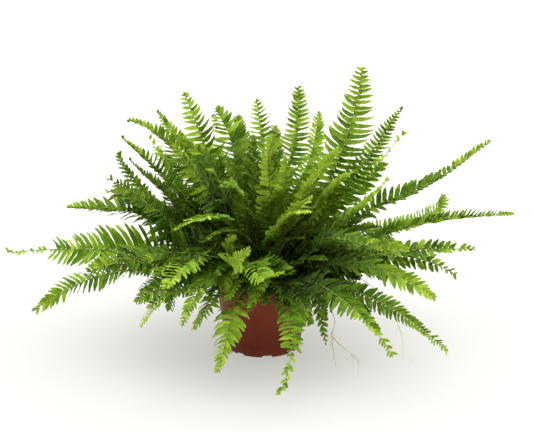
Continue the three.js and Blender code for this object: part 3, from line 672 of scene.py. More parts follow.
def make_pot(material):
    collar_foot = wall_radius(collar_bottom) + COLLAR_STEP
    foot_inside = POT_FOOT_RADIUS - FOOT_DEPTH
    # Under the raised floor and round the foot
    profile = [(radius, FOOT_HEIGHT) for radius in (6, 24, foot_inside - 1)]
    profile += [(foot_inside, FOOT_HEIGHT - 0.6), (foot_inside + 0.6, 0.5), (foot_inside + 1.4, 0)]
    profile += [(POT_FOOT_RADIUS + out, up) for out, up in FOOT_EDGE]
    # Up the wall, round the collar's lower edge and over the rim
    heights = (8, *range(18, 79, 12), collar_bottom - 3, collar_bottom - 1.6)
    profile += [(wall_radius(height), height) for height in heights]
    profile += [(wall_radius(collar_bottom) + 0.5, collar_bottom - 0.9)]
    profile += [(collar_foot + out, collar_bottom + up) for out, up in COLLAR_EDGE]
    profile += [(mix(collar_foot, POT_TOP_RADIUS, 0.5), collar_bottom + COLLAR_HEIGHT / 2)]
    profile += [(POT_TOP_RADIUS + out, POT_HEIGHT + up) for out, up in RIM_EDGE]
    # Down the inside to the floor
    profile += [
        (collar_foot - COLLAR_WALL, collar_bottom + 1.2),
        (wall_radius(collar_bottom) - POT_WALL, collar_bottom - 1.2),
        (wall_radius(floor_top + 2) - POT_WALL, floor_top + 2),
        (wall_radius(floor_top) - POT_WALL - 1.2, floor_top),
        (20, floor_top),
    ]
    pot = draw_out("pot_moulded", profile, POT_SIDES)
    for i in range(FOOT_COUNT):
        angle = math.radians(-90 + NOTCH_TURN + i * 360 / FOOT_COUNT)
        out = heading(angle)
        deselect()
        bpy.ops.mesh.primitive_cube_add(size=1, location=POT_FOOT_RADIUS * out * MM, rotation=(0, 0, angle))
        bpy.context.object.scale = (3 * FOOT_DEPTH * MM, NOTCH_WIDTH * MM, 2 * FOOT_HEIGHT * MM)
        notch = finish_piece("notch")
        # Soft shoulders where the notch meets the feet
        rounding = notch.modifiers.new("rounding", "BEVEL")
        rounding.width = NOTCH_ROUNDING * MM
        rounding.segments = 3
        rounding.angle_limit = math.radians(60)
        apply_modifiers(notch)
        cut_away(pot, notch)
        deselect()
        place = DRAIN_RING_RADIUS * out * MM
        bpy.ops.mesh.primitive_cylinder_add(
            vertices=24, radius=DRAIN_HOLE_RADIUS * MM, depth=3 * floor_top * MM, location=place
        )
        cut_away(pot, bpy.context.object)
    give_material(pot, material)
    smooth_faces(pot, 32)
    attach(pot, "root")
    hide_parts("pot")


# Soil
def make_soil(material):
    bottom = floor_top + FIT_GAP + 0.4
    edge = wall_radius(SOIL_TOP) - POT_WALL - FIT_GAP
    profile = [(10, bottom), (wall_radius(bottom) - POT_WALL - 2, bottom)]
    profile += [(wall_radius(20) - POT_WALL - FIT_GAP, 20)]
    profile += [(edge - 0.2, SOIL_TOP - 4), (edge - 0.6, SOIL_TOP - 1), (edge - 2, SOIL_TOP)]
    profile += [(radius, SOIL_TOP) for radius in range(int(edge) - 4, 2, -3)]
    soil = draw_out("soil_top", profile, SOIL_SIDES)
    top = soil.vertex_groups.new(name="top")
    inside = [v.index for v in soil.data.vertices if v.co.z > (SOIL_TOP - 0.5) * MM]
    top.add(inside, 1.0, "REPLACE")
    lumps = bpy.data.textures.new("soil_lumps", "CLOUDS")
    lumps.noise_scale = LUMP_SIZE * MM
    lumps.noise_depth = 2
    heave = soil.modifiers.new("heave", "DISPLACE")
    heave.texture = lumps
    heave.vertex_group = "top"
    heave.direction = "Z"
    heave.strength = LUMP_HEIGHT * MM
    heave.mid_level = 0.5
    apply_modifiers(soil)
    smooth_faces(soil, 50)
    give_material(soil, material)
    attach(soil, "root")
    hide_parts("soil")


def model_crumb():
    """One crumb of peat, about 1 across: a ball pulled out of round"""
    deselect()
    bpy.ops.mesh.primitive_ico_sphere_add(subdivisions=1, radius=0.5)
    bpy.ops.object.mode_set(mode="EDIT")
    bpy.ops.mesh.select_all(action="SELECT")
    bpy.ops.transform.resize(value=(1.0, 0.8, 0.65))
    bpy.ops.transform.vertex_random(offset=0.14, seed=3)
    return take_shape(finish_piece("crumb"))


def make_crumbs(material):
    rng = np.random.default_rng([SEED, 1])
    corners, faces = model_crumb()
    reach = wall_radius(SOIL_TOP) - POT_WALL - 4
    radius = reach * np.sqrt(rng.random(CRUMB_COUNT))
    bearing = rng.random(CRUMB_COUNT) * 2 * math.pi
    size = SMALLEST_CRUMB + CRUMB_GROWTH * rng.random(CRUMB_COUNT) ** 2
    places = np.stack([radius * np.cos(bearing), radius * np.sin(bearing), SOIL_TOP + 0.3 * size], axis=1)
    turns = np.array([Quaternion(q).to_matrix() for q in unit(rng.normal(size=(CRUMB_COUNT, 4)))])
    spun = np.einsum("nij,vj->nvi", turns, corners) * size[:, None, None]
    points = (spun + places[:, None, :]).reshape(-1, 3)
    crumbs = link_mesh("soil_crumbs", points, copy_faces(faces, len(corners), CRUMB_COUNT), [material])
    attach(crumbs, "root")


# Leaflets
def half_width_at(share, bluntness):
    """A leaflet's half width along it, as a share of its widest: broadest at its foot and rounded off to its
    tip, the later the blunter it is"""
    return (0.9 + 0.2 * math.exp(-share / 0.09)) * (1 - share**bluntness) ** (2.2 / bluntness)


def model_leaflet(teeth, bluntness):
    """A leaflet 1 long along Y and 1 wide: a thin diamond section drawn out tooth by tooth and pinched at
    the tip, with an ear at its foot on the side of the frond's tip, +X"""
    deselect()
    # A square ring on its corner, which stands upright across Y
    upright = (math.pi / 2, 0, 0)
    bpy.ops.mesh.primitive_circle_add(vertices=4, radius=0.5, fill_type="NGON", rotation=upright)
    bpy.ops.object.transform_apply(location=False, rotation=True, scale=False)
    bpy.ops.object.mode_set(mode="EDIT")
    bpy.ops.mesh.select_all(action="SELECT")
    width, place = 0.6, 0.0
    bpy.ops.transform.resize(value=(width, 1, 1))
    stations = [(EAR_PLACE, 1.0)]
    for tooth in range(teeth):
        stations += [((tooth + 0.68) / teeth, 1.0), ((tooth + 1) / teeth, 0.88)]
    for share, depth in stations[:-1]:
        next_width = half_width_at(share, bluntness) * depth
        bpy.ops.mesh.extrude_region_move(TRANSFORM_OT_translate={"value": (0, share - place, 0)})
        bpy.ops.transform.resize(value=(next_width / width, 1, 1), center_override=(0, share, 0))
        width, place = next_width, share
    bpy.ops.mesh.extrude_region_move(TRANSFORM_OT_translate={"value": (0, 1 - place, 0)})
    bpy.ops.mesh.merge(type="CENTER")
    leaflet = finish_piece("leaflet")
    # The ear: the first tooth reaches further on the tip's side
    bpy.ops.object.mode_set(mode="EDIT")
    bpy.ops.mesh.select_all(action="DESELECT")
    bpy.ops.object.mode_set(mode="OBJECT")
    for v in leaflet.data.vertices:
        v.select = v.co.x > 0.2 and abs(v.co.y - EAR_PLACE) < 0.01
    bpy.ops.object.mode_set(mode="EDIT")
    bpy.ops.transform.translate(value=(EAR_REACH * 0.5, -0.03, 0))
    bpy.ops.mesh.select_all(action="SELECT")
    bpy.ops.mesh.normals_make_consistent(inside=False)
    return take_shape(finish_piece("leaflet"))


class Leaflet:
    """A modelled leaflet's corners and faces, which of its faces are its underside, its places across and
    along for the veins, and its width in steps to the next leaflet"""

    def __init__(self, teeth, bluntness, width):
        self.corners, self.faces = model_leaflet(teeth, bluntness)
        self.width = width
        self.underside = np.array([float(self.corners[face][:, 2].mean() < -0.01) for face in self.faces])
        self.uv = np.stack([0.5 + self.corners[:, 0] / 1.1, self.corners[:, 1]], axis=1)


POINTED_LEAFLET = Leaflet(teeth=4, bluntness=2.3, width=1.05)
BLUNT_LEAFLET = Leaflet(teeth=3, bluntness=3.4, width=1.04)


# Foliage: the stuff of one piece, whose first material is its leaves' and whose second is its stalks'
LEAF, STALK = 0, 1


class Foliage:
    """Collects the corners, faces and attributes of one piece's leaflets and stalks"""

    def __init__(self):
        self.parts, self.faces, self.count = [], [], 0

    def add(self, corners, faces, uv, freshness_and_shade, underside, material):
        self.faces.extend([k + self.count for k in face] for face in faces)
        self.count += len(corners)
        self.parts.append((corners, uv, freshness_and_shade, underside, np.full(len(faces), material)))

    def add_tube(self, corners, faces, uv, freshness_and_shade=0.0, material=LEAF):
        freshness_and_shade = np.broadcast_to(freshness_and_shade, len(corners))
        self.add(corners, faces, uv, freshness_and_shade, np.zeros(len(faces)), material)

    def make_piece(self, name, materials):
        corners, uv, freshness_and_shade, underside, material = map(np.concatenate, zip(*self.parts))
        piece = link_mesh(name, corners, self.faces, materials)
        mesh = piece.data
        mesh.polygons.foreach_set("material_index", material.astype(np.int32))
        corner_of_loop = np.zeros(len(mesh.loops), np.int32)
        mesh.loops.foreach_get("vertex_index", corner_of_loop)
        layer = mesh.uv_layers.new(name="UVMap")
        layer.data.foreach_set("uv", uv[corner_of_loop].astype(np.float32).ravel())
        for label, values, domain in (("freshness_and_shade", freshness_and_shade, "POINT"), ("underside", underside, "FACE")):
            attribute = mesh.attributes.new(label, "FLOAT", domain)
            attribute.data.foreach_set("value", values.astype(np.float32))
        mesh.update()
        smooth_faces(piece, 38)
        return piece


def sweep_tube(points, sides, half_widths, half_thicknesses, side_axes, up_axes, groove=0.0):
    """A tube of oval section through points, with a groove along its upper side, closed at both ends: its
    corners, faces and places round and along it"""
    turn = np.arange(sides) * 2 * math.pi / sides + math.pi / 2
    x, y = np.cos(turn), np.sin(turn)
    y[0] -= groove
    offsets = x[:, None] * (half_widths[:, None] * side_axes)[:, None]
    offsets = offsets + y[:, None] * (half_thicknesses[:, None] * up_axes)[:, None]
    corners = (points[:, None] + offsets).reshape(-1, 3)
    rings = np.arange(len(corners)).reshape(-1, sides)
    beside = np.roll(rings, -1, axis=1)
    wall = np.stack([rings[:-1], rings[1:], beside[1:], beside[:-1]], axis=-1).reshape(-1, 4)
    faces = [*wall.tolist(), rings[0].tolist(), rings[-1, ::-1].tolist()]
    along = np.repeat(np.linspace(0, 1, len(points)), sides)
    around = np.tile(np.arange(sides) / sides, len(points))
    return corners, faces, np.stack([around, along], axis=1)


# Fronds: their curves
def foot_places():
    """The steepest fronds stand in the inner rings, and round a ring they stand in the order they point"""
    order = sorted((row for row in FRONDS if row[0] not in HOSTS), key=lambda row: -row[2])
    places, used = {}, 0
    for radius, count in CROWN_RINGS:
        ring = order[used : used + count]
        members = sorted((math.atan2(row[1][1], row[1][0]) % (2 * math.pi), row[0]) for row in ring)
        used += count
        step = 2 * math.pi / len(members)
        start = sum(bearing - i * step for i, (bearing, _) in enumerate(members)) / len(members)
        for i, (_, name) in enumerate(members):
            places[name] = radius * heading(start + i * step) + SOIL
    return places


class Frond:
    """A frond's curve from the soil to its tip, the frame that its blade lies in along it, and its habit"""

    def __init__(self, foot, tip, rise, end, turn, hold, half_width, face, fold, rng, **habit):
        self.foot, self.half_width, self.face, self.fold = np.array(foot, float), half_width, face, fold
        self.habit = {"taper": rng.uniform(*TAPERS), **COMMON_HABIT, **habit}
        tip = np.array(tip, float)
        self.angle = math.atan2(tip[1] - foot[1], tip[0] - foot[0])
        reach = np.linalg.norm(tip - self.foot)
        self.across = np.array([-math.sin(self.angle), math.cos(self.angle), 0.0])
        leave = heading(self.angle, math.radians(rise)) * reach * hold[0]
        arrive = heading(self.angle + math.radians(turn), math.radians(end)) * reach * hold[1]
        self.controls = np.array([self.foot, self.foot + leave, tip - arrive, tip])
        self.waves = [(count, rng.normal(0, share * reach, 3)) for count, share in WAVES.items()]
        self.twist = [(count, rng.normal(0, swing)) for count, swing in TWISTS.items()]
        steps = np.linalg.norm(np.diff(self.point(np.linspace(0, 1, CURVE_STEPS)), axis=0), axis=1)
        self.arc = np.concatenate([[0], np.cumsum(steps)])
        self.length = self.arc[-1]
        self.slim = mix(*STALK_SCALE, half_width / WIDEST_HALF_WIDTH)

    def point(self, t):
        t = t[:, None]
        a, b, c, d = self.controls
        place = (1 - t) ** 3 * a + 3 * (1 - t) ** 2 * t * b + 3 * (1 - t) * t**2 * c + t**3 * d
        return place + sum(np.sin(count * math.pi * t) * size for count, size in self.waves)

    def slope(self, t):
        t = t[:, None]
        a, b, c, d = self.controls
        slope = 3 * (1 - t) ** 2 * (b - a) + 6 * (1 - t) * t * (c - b) + 3 * t**2 * (d - c)
        waves = (np.cos(count * math.pi * t) * count * math.pi * size for count, size in self.waves)
        return slope + sum(waves)

    def frames(self, shares):
        """Place, direction along, direction across and upper direction at shares of the length"""
        t = np.interp(shares * self.length, self.arc, np.linspace(0, 1, CURVE_STEPS))
        at, along = self.point(t), unit(self.slope(t))
        level = unit(self.across - along * (along @ self.across)[:, None])
        above = np.cross(along, level)
        to_front = -math.copysign(1, math.cos(self.angle))
        turned = sum(np.sin(count * math.pi * shares) * size for count, size in self.twist)
        lean = np.radians(to_front * mix(*self.face, shares) + turned)[:, None]
        side = level * np.cos(lean) - above * np.sin(lean)
        up = above * np.cos(lean) + level * np.sin(lean)
        return at, along, side, up

    def stalk_width(self, share, widths=STALK_WIDTH):
        return mix(*widths, share) * self.slim


def length_share(share, taper):
    """How long leaflets are along the blade: short at its foot, longest before its middle, tiny at the tip"""
    rising = mix(FOOT_LENGTH, 1, np.sin(math.pi / 2 * np.minimum(share / WIDEST_SHARE, 1)))
    outward = np.clip((share - WIDEST_SHARE) / (1 - WIDEST_SHARE), 0, 1)
    falling = mix(TIP_LENGTH, 1, np.cos(math.pi / 2 * outward) ** taper)
    return np.where(share < WIDEST_SHARE, rising, falling)


def leaflet_places(frond):
    """Shares of the blade where leaflets stand: closer together towards the tip"""
    step = (LEAFLET_STEP + STEP_GROWTH * frond.half_width) * frond.habit["closeness"]
    blade = frond.length * (1 - BARE_SHARE)
    shares, at = [], 0.35 * step
    while at < blade - 1.2:
        share = at / blade
        shares.append(share)
        at += step * mix(TIP_STEP_SHARE, 1, float(length_share(share, frond.habit["taper"])))
    return np.array(shares)


def drift(rng, count, mean, swing):
    """Values that wander slowly about a mean from leaflet to leaflet, with a little of their own"""
    knots = rng.normal(0, swing, max(2, count // 5) + 1)
    slow = np.interp(np.linspace(0, len(knots) - 1, count), np.arange(len(knots)), knots)
    return mean + (slow + rng.normal(0, 0.6 * swing, count))


def bend_leaflets(leaflet, axes, sizes, bends):
    """Leaflets by their axes, which are their roots and the directions out, to the frond's tip and up. Each
    curves down by droop and to the frond's tip by hook, and is rolled about its own axis by roll at its foot
    and wring more at its tip. Its halves fold up by cup, and its margins wave from the phase ripple."""
    x, y, z = leaflet.corners.T[..., None]
    roots, out, tipward, up = (vectors[:, None] for vectors in axes)
    lengths, widths, droop, hook, roll, wring, cup, ripple = (v[:, None, None] for v in (*sizes, *bends))
    down_turn, side_turn = droop * y, hook * y
    spine = (y - y**3 * (droop**2 + hook**2) / 6) * out
    spine = (spine + side_turn * y / 2 * tipward - down_turn * y / 2 * up) * lengths
    normal = up * np.cos(down_turn) + out * np.sin(down_turn)
    cross = tipward * np.cos(side_turn) - out * np.sin(side_turn)
    turn = roll + wring * y
    cos, sin = np.cos(turn), np.sin(turn)
    cross, normal = cross * cos + normal * sin, normal * cos - cross * sin
    # The section thins to the margin, and the halves fold up into a shallow V
    wave = cup + RIPPLE * np.sin(9 * y + ripple + 1.3 * np.sign(x))
    lift = (z * LEAFLET_THICKNESS + np.abs(x) * widths * wave) * normal
    return roots + spine + x * widths * cross + lift


def clear_of_pot(points):
    """Whether each leaflet stays above the surface and outside the pot's wall and rim and the soil"""
    radius = np.hypot(points[..., 0], points[..., 1])
    height = points[..., 2]
    within = radius < POT_TOP_RADIUS + POT_CLEARANCE
    in_rim = within & (radius > POT_TOP_RADIUS - RIM_DEPTH) & (height < POT_HEIGHT + POT_CLEARANCE)
    in_soil = within & (height < SOIL_TOP + SOIL_CLEARANCE)
    return ~np.any(in_rim | in_soil | (height < TABLE_CLEARANCE), axis=1)


def grow_leaflets(foliage, frond, rng, freshness_and_shade):
    """A row of leaflets on each side of the stalk"""
    shares = leaflet_places(frond)
    leaflet = POINTED_LEAFLET if frond.controls[3][2] > TALL else BLUNT_LEAFLET
    size = len(leaflet.corners)
    for sign in (1, -1):
        # Leaflets stand alternately, so the two sides are half a step apart
        own = shares if sign > 0 else (shares + np.append(shares[1:], 1)) / 2
        count = len(own)
        at, along, side, up = frond.frames(BARE_SHARE + (1 - BARE_SHARE) * own)
        half_rib = frond.stalk_width(own)[:, None] / 2
        sweep = np.radians(drift(rng, count, mix(*SWEEP, own) + frond.habit["sweep"], SWEEP_SWING))[:, None]
        rise = np.radians(drift(rng, count, frond.fold, RISE_SWING))[:, None]
        full = frond.half_width * length_share(own, frond.habit["taper"])
        # A weather-worn tail keeps only small and scattered leaflets
        worn = own > 1 - frond.habit["tail"]
        short = rng.uniform(*WORN_LENGTHS, count)
        lengths = np.where(worn, short, full * drift(rng, count, 1, LENGTH_SWING))
        step = np.gradient(own * frond.length * (1 - BARE_SHARE)) if count > 1 else np.array([5.0])
        widths = np.minimum(np.minimum(step * leaflet.width, WIDEST_LEAFLET), lengths * 0.7)
        widths = widths * (1 + rng.normal(0, 0.04, count))
        # The longer leaflets hang more
        droop = np.radians(drift(rng, count, *DROOP)) * np.clip(full / 20, 0.4, 1.3)
        hook = np.radians(drift(rng, count, *HOOK))
        roll = np.radians(sign * drift(rng, count, *ROLL))
        wring = np.radians(drift(rng, count, *WRING))
        cup = rng.uniform(*CUP, count)
        bends = (droop, hook, roll, wring, cup, rng.uniform(0, 2 * math.pi, count))
        lost = worn & (rng.random(count) < LOST_SHARE)
        kept = np.zeros(count, bool)
        placed = np.zeros((count, size, 3))
        for lift in LIFTS:
            turned = rise + math.radians(lift)
            out = side * (sign * np.cos(turned)) + up * np.sin(turned)
            out = unit(out * np.cos(sweep) + along * np.sin(sweep))
            normal = unit(np.cross(along, out) * sign)
            roots = at + side * (sign * half_rib * 0.4) + up * 0.2
            axes = (roots, out, np.cross(out, normal) * sign, normal)
            tried = bend_leaflets(leaflet, axes, (lengths, widths), bends)
            fits = clear_of_pot(tried) & ~kept
            placed[fits] = tried[fits]
            kept |= fits
        kept &= ~lost
        grown = np.count_nonzero(kept)
        # The frond darkens towards its foot, partly as painted shade in the crown
        tone_with_painted_light = freshness_and_shade + AT_FROND_FOOT + TO_FROND_TIP * own[kept] ** 1.5
        tone_with_painted_light = tone_with_painted_light + rng.normal(0, LEAFLET_SWING, grown)
        # Painted shade: leaflets near the hollows are made darker
        for shaded_hollow in SHADED_HOLLOWS:
            depth = np.linalg.norm(at[kept] - np.array(shaded_hollow), axis=1) / SHADED_HOLLOW_REACH
            tone_with_painted_light = tone_with_painted_light - PAINTED_HOLLOW_SHADE * np.exp(-(depth**2))
        # Each leaflet is paler towards its tip, partly as painted shade at its foot
        tone_with_painted_light = tone_with_painted_light[:, None] + TO_LEAFLET_TIP * np.clip(leaflet.corners[:, 1], 0, 1) ** 1.5
        foliage.add(
            placed[kept].reshape(-1, 3),
            copy_faces(leaflet.faces if sign > 0 else [face[::-1] for face in leaflet.faces], size, grown),
            np.tile(leaflet.uv, (grown, 1)),
            tone_with_painted_light.ravel(),
            np.tile(leaflet.underside, grown),
            LEAF,
        )


def grow_stalk(foliage, frond, freshness_and_shade):
    """The stalk: upright in the soil, then along the frond's curve to its tip"""
    shares = np.linspace(0, 1, max(10, int(frond.length / 12)))
    at, along, side, up = frond.frames(shares)
    points = np.vstack([frond.foot + np.array([0, 0, -STALK_DEPTH]), at])
    sides = np.vstack([frond.across, side])
    ups = np.vstack([-heading(frond.angle), up])
    share = np.concatenate([[0], shares])
    half_widths = frond.stalk_width(share) / 2
    half_thicknesses = frond.stalk_width(share, STALK_THICKNESS) / 2
    tube = sweep_tube(points, 6, half_widths, half_thicknesses, sides, ups, STALK_GROOVE)
    foliage.add_tube(*tube, np.repeat(np.clip(0.1 + 0.5 * share + 0.2 * freshness_and_shade, 0, 1), 6), STALK)


def grow_coil(foliage, frond, rng):
    """The last of a growing frond is still rolled up: a tight coil of the stalk in the blade's own plane"""
    size = frond.habit["coil"]
    at, along, side, up = (v[0] for v in frond.frames(np.array([1.0])))
    wound = np.linspace(0, 1, 15)
    angle = wound[:, None] * 2 * math.pi * COIL_TURNS
    radius = size * (1 - COIL_WINDING * wound[:, None])
    roll_up = up if rng.random() < COIL_UPWARD_SHARE else -up
    points = at + roll_up * size + along * (radius * np.sin(angle)) - roll_up * (radius * np.cos(angle))
    travel = unit(np.gradient(points, axis=0))
    sides = np.tile(side, (len(points), 1))
    half = mix(0.32, 0.42, wound) * size
    tube = sweep_tube(points, 6, half * 1.3, half, sides, np.cross(travel, sides))
    foliage.add_tube(*tube, np.repeat(0.6 + 0.3 * wound, 6))


def grow_frond(foliage, frond, tone, rng):
    freshness_and_shade = TONES[tone] + frond.habit["paler"] + rng.normal(0, FROND_SWING)
    grow_stalk(foliage, frond, freshness_and_shade)
    grow_leaflets(foliage, frond, rng, freshness_and_shade)
    grow_coil(foliage, frond, rng)


# Fronds: their pieces
def make_fronds(leaf_materials, stalk):
    """A piece for each frond that stands on a foot of its own, with those that share its foot"""
    places = foot_places()
    foliages, tones = {}, {}
    for i, (name, *shape, tone) in enumerate(FRONDS):
        host = HOSTS.get(name, name)
        if host not in foliages:
            foliages[host] = Foliage()
        if host == name:
            tones[host] = tone
        rng = np.random.default_rng([SEED, 100 + i])
        frond = Frond(places[host], *shape, rng, **HABITS.get(name, {}))
        grow_frond(foliages[host], frond, tone, rng)
    for host, foliage in foliages.items():
        piece = foliage.make_piece(f"leafy_{host}", [leaf_materials[tones[host]], stalk])
        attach(piece, "root")
        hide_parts(f"frond_{host}")


def make_sister_fronds(leaf_materials, stalk):
    places = foot_places()
    foliages = [Foliage() for _ in range(SISTER_SECTORS)]
    for i, (row, shares) in enumerate((row, shares) for shares in SISTER_REACHES for row in FRONDS):
        name, tip, rise, end, turn, hold, half_width, face, fold, tone = row
        rng = np.random.default_rng([SEED, 200 + i])
        foot = places[HOSTS.get(name, name)] + SISTER_STEP_ASIDE * heading(rng.uniform(0, 2 * math.pi))
        swing = rng.choice([-1, 1]) * math.radians(rng.uniform(*SISTER_TURN))
        reach = np.array(tip, float) - foot
        longest = LONGEST_LEFT_SISTER if tip[0] < 0 else LONGEST_RIGHT_SISTER
        if tip[2] < POT_HEIGHT:
            longest = LONGEST_HANGING_SISTER
        share = rng.uniform(*shares)
        if rise > STEEP:
            share, longest = share + STEEP_SHARE, LONGEST_LEFT_SISTER
        x, y, z = reach * min(share, longest / np.linalg.norm(reach))
        cos, sin = math.cos(swing), math.sin(swing)
        reach = np.array([x * cos - y * sin, x * sin + y * cos, z + rng.uniform(2, 32)])
        # None hangs before the lower part of the pot's face, which shows
        if abs(reach[0]) < POT_FACE and reach[1] < 0:
            reach[2] = max(reach[2], LOWEST_BEFORE_POT)
        rise = rise + rng.uniform(-6, 4)
        end = end + rng.uniform(-8, 14)
        turn = turn / 2 + rng.uniform(-15, 15)
        half_width = min(WIDEST_SISTER, half_width * rng.uniform(0.65, 0.95))
        face = [angle * rng.uniform(0.5, 1) for angle in face]
        shape = (foot + reach, rise, end, turn, hold, half_width, face, fold)
        frond = Frond(foot, *shape, rng, **SISTER_HABIT)
        bearing = math.atan2(reach[1], reach[0]) % (2 * math.pi)
        sector = int(bearing / (2 * math.pi) * SISTER_SECTORS) % SISTER_SECTORS
        grow_frond(foliages[sector], frond, rng.choice(["deep", "green", tone]), rng)
    for sector, foliage in enumerate(foliages):
        piece = foliage.make_piece(f"sister_fronds_{sector + 1}", [leaf_materials["green"], stalk])
        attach(piece, "root")


def make_inner_fronds(leaf_materials, stalk):
    foliages = {sector: Foliage() for sector in INNER_SECTORS}
    for i in range(INNER_COUNT):
        rng = np.random.default_rng([SEED, 400 + i])
        bearing = i * GOLDEN_ANGLE
        spread = math.sqrt((i + 0.5) / INNER_COUNT)
        foot = mix(*INNER_FOOT, spread) * heading(bearing) + SOIL
        reach = mix(*INNER_REACH, spread) * rng.uniform(0.85, 1.15)
        tip = reach * heading(bearing + rng.normal(0, 0.15))
        tip[2] = mix(*INNER_TIP, spread) + rng.uniform(-18, 18)
        rise, end, turn = mix(*INNER_RISE, spread), mix(*INNER_END, spread), rng.uniform(-25, 25)
        half_width = rng.uniform(14, 22)
        shape = (tip, rise, end, turn, (0.42, 0.38), half_width, (0, rng.uniform(0, 25)), 12)
        frond = Frond(foot, *shape, rng, **INNER_HABIT)
        tone = rng.choice(["deep", "deep", "green", "young"])
        sector = INNER_SECTORS[int(((bearing % (2 * math.pi)) + math.pi / 4) // (math.pi / 2)) % 4]
        grow_frond(foliages[sector], frond, tone, rng)
    for sector, foliage in foliages.items():
        # The inner pieces take the darkest leaf, as painted shade in the plant's heart
        piece = foliage.make_piece(f"inner_fronds_{sector}", [leaf_materials["deep"], stalk])
        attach(piece, "root")


# Runners
def smooth_route(points, count):
    """Evenly spaced points on a centripetal Catmull-Rom curve through the given ones"""
    points = np.array(points, float)
    ends = [2 * points[0] - points[1], *points, 2 * points[-1] - points[-2]]
    route = []
    for a, b, c, d in zip(ends, ends[1:], ends[2:], ends[3:]):
        ta, tb, tc = (max(np.linalg.norm(q - p) ** 0.5, 1e-4) for p, q in ((a, b), (b, c), (c, d)))
        leave = ((b - a) / ta - (c - a) / (ta + tb) + (c - b) / tb) * tb
        arrive = ((c - b) / tb - (d - b) / (tb + tc) + (d - c) / tc) * tb
        t = np.linspace(0, 1, 24, endpoint=False)[:, None]
        cubic = (2 * b - 2 * c + leave + arrive) * t**3 + (3 * c - 3 * b - 2 * leave - arrive) * t**2
        route.extend(cubic + leave * t + b)
    route = np.vstack([*route, points[-1]])
    arc = np.concatenate([[0], np.cumsum(np.linalg.norm(np.diff(route, axis=0), axis=1))])
    even = np.linspace(0, arc[-1], count)
    return np.stack([np.interp(even, arc, route[:, axis]) for axis in range(3)], axis=1)


def strand_tube(points, widths, sides=6):
    """A round tube through points, its section carried along without a twist"""
    travel = unit(np.gradient(points, axis=0))
    across = [unit(np.cross(travel[0], [0.3, 1.0, 0.2]))]
    for direction in travel[1:]:
        across.append(unit(across[-1] - direction * (direction @ across[-1])))
    across = np.array(across)
    return sweep_tube(points, sides, widths / 2, widths / 2, across, np.cross(travel, across))


def make_runners(material):
    for index, (name, (foot, strands)) in enumerate(RUNNERS.items()):
        rng = np.random.default_rng([SEED, 500 + index])
        foliage = Foliage()
        for strand in strands:
            upright = [(*foot, SOIL_TOP + rise) for rise in RUNNER_UPRIGHT] if strand is strands[0] else []
            points = smooth_route(upright + strand, RUNNER_POINTS)
            # It thins towards its end and swells a little at its joints
            swelling = 1 + 0.12 * np.sin(np.arange(RUNNER_POINTS) * 0.9)
            widths = RUNNER_WIDTH * np.linspace(1, 0.55, RUNNER_POINTS) * swelling
            foliage.add_tube(*strand_tube(points, widths))
            for place in rng.choice(np.arange(*ROOTLET_PLACES), ROOTLET_COUNT, replace=False):
                reach = rng.uniform(*ROOTLET_LENGTH)
                away = unit(rng.normal(size=3) + np.array([0, 0, -0.7]))
                along = np.linspace(0, 1, 7)[:, None]
                rootlet = points[place] + away * reach * along + np.array([0, 0, -0.35 * reach]) * along**2
                rootlet[:, 2] = np.maximum(rootlet[:, 2], 1.0)
                foliage.add_tube(*strand_tube(rootlet, np.linspace(0.5, 0.25, 7), sides=4))
        piece = foliage.make_piece(f"wiry_runner_{name}", [material])
        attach(piece, "root")
        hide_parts(f"runner_{name}")


# Dead frond feet
def make_stubs(material):
    foliage = Foliage()
    rng = np.random.default_rng([SEED, 600])
    for i in range(STUB_COUNT):
        bearing = i * GOLDEN_ANGLE + 0.6
        radius = mix(*STUB_RING, math.sqrt((i + 0.5) / STUB_COUNT))
        base = radius * heading(bearing) + np.array([0, 0, SOIL_TOP - 4])
        lean = heading(bearing + rng.normal(0, 0.5), math.radians(rng.uniform(55, 85)))
        height = rng.uniform(*STUB_HEIGHT)
        along = np.linspace(0, 1, len(STUB_WIDTHS))[:, None]
        stub = base + lean * height * along + heading(bearing) * 3 * along**2
        foliage.add_tube(*strand_tube(stub, np.array(STUB_WIDTHS) * rng.uniform(0.8, 1.15)))
    piece = foliage.make_piece("dead_frond_feet", [material])
    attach(piece, "root")


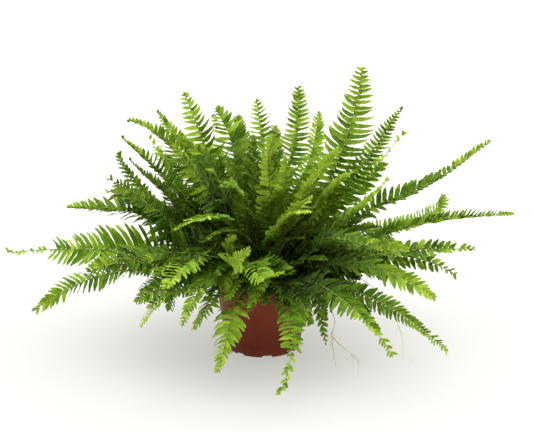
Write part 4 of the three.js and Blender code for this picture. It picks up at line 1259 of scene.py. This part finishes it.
# Stage
def make_stage():
    deselect()
    bpy.ops.mesh.primitive_circle_add(vertices=64, radius=TABLE_RADIUS * MM, fill_type="NGON")
    paper = finish_piece("studio_floor")
    # The table looks off-white through its painted glow
    give_material(paper, make_material("shooting_table_painted_glow", table_with_painted_glow))


def make_camera():
    pitch = math.radians(CAMERA_PITCH)
    target = np.array(CAMERA_TARGET)
    place = target + CAMERA_DISTANCE * np.array([0, -math.cos(pitch), math.sin(pitch)])
    bpy.ops.object.camera_add(location=place * MM, rotation=(math.pi / 2 - pitch, 0, 0))
    camera = bpy.context.object
    camera.data.lens = CAMERA_LENS
    camera.data.clip_end = 100
    bpy.context.scene.camera = camera


def make_light():
    bpy.ops.object.light_add(type="SUN", rotation=[math.radians(turn) for turn in CEILING_LIGHT_TURN])
    ceiling = bpy.context.object
    ceiling.name = "ceiling_softbox"
    ceiling.data.angle = math.radians(CEILING_LIGHT_SPREAD)
    ceiling.data.energy = CEILING_LIGHT
    world = bpy.data.worlds.new("studio")
    bpy.context.scene.world = world
    world.use_nodes = True
    sky = world.node_tree.nodes["Background"]
    sky.inputs["Color"].default_value = linear("#FDFDFD")
    sky.inputs["Strength"].default_value = WALL_LIGHT
    bpy.context.scene.view_settings.view_transform = "Standard"


make_camera()
make_light()
make_stage()
stalk_material = make_material("wiry_fern_stalk", fern_stalk)
leaf_materials = {
    # The darkest leaf serves old fronds and, as painted shade, the inner fronds
    "deep": make_material("old_and_shaded_fern_leaf", fern_leaf, "#081302", "#223B04", "#607819"),
    "green": make_material("grown_fern_leaf", fern_leaf, "#0B1A01", "#2F4A03", "#6F871C"),
    "young": make_material("young_pale_fern_leaf", fern_leaf, "#122502", "#426205", "#829A2A"),
}
make_pot(make_material("moulded_terracotta_polypropylene", moulded_pot_plastic))
soil_material = make_material("damp_peat_compost", peat_soil)
make_soil(soil_material)
make_crumbs(soil_material)
make_fronds(leaf_materials, stalk_material)
make_sister_fronds(leaf_materials, stalk_material)
make_inner_fronds(leaf_materials, stalk_material)
make_runners(make_material("dry_wiry_runner", dry_runner))
make_stubs(make_material("dead_brown_frond_foot", dead_stalk))
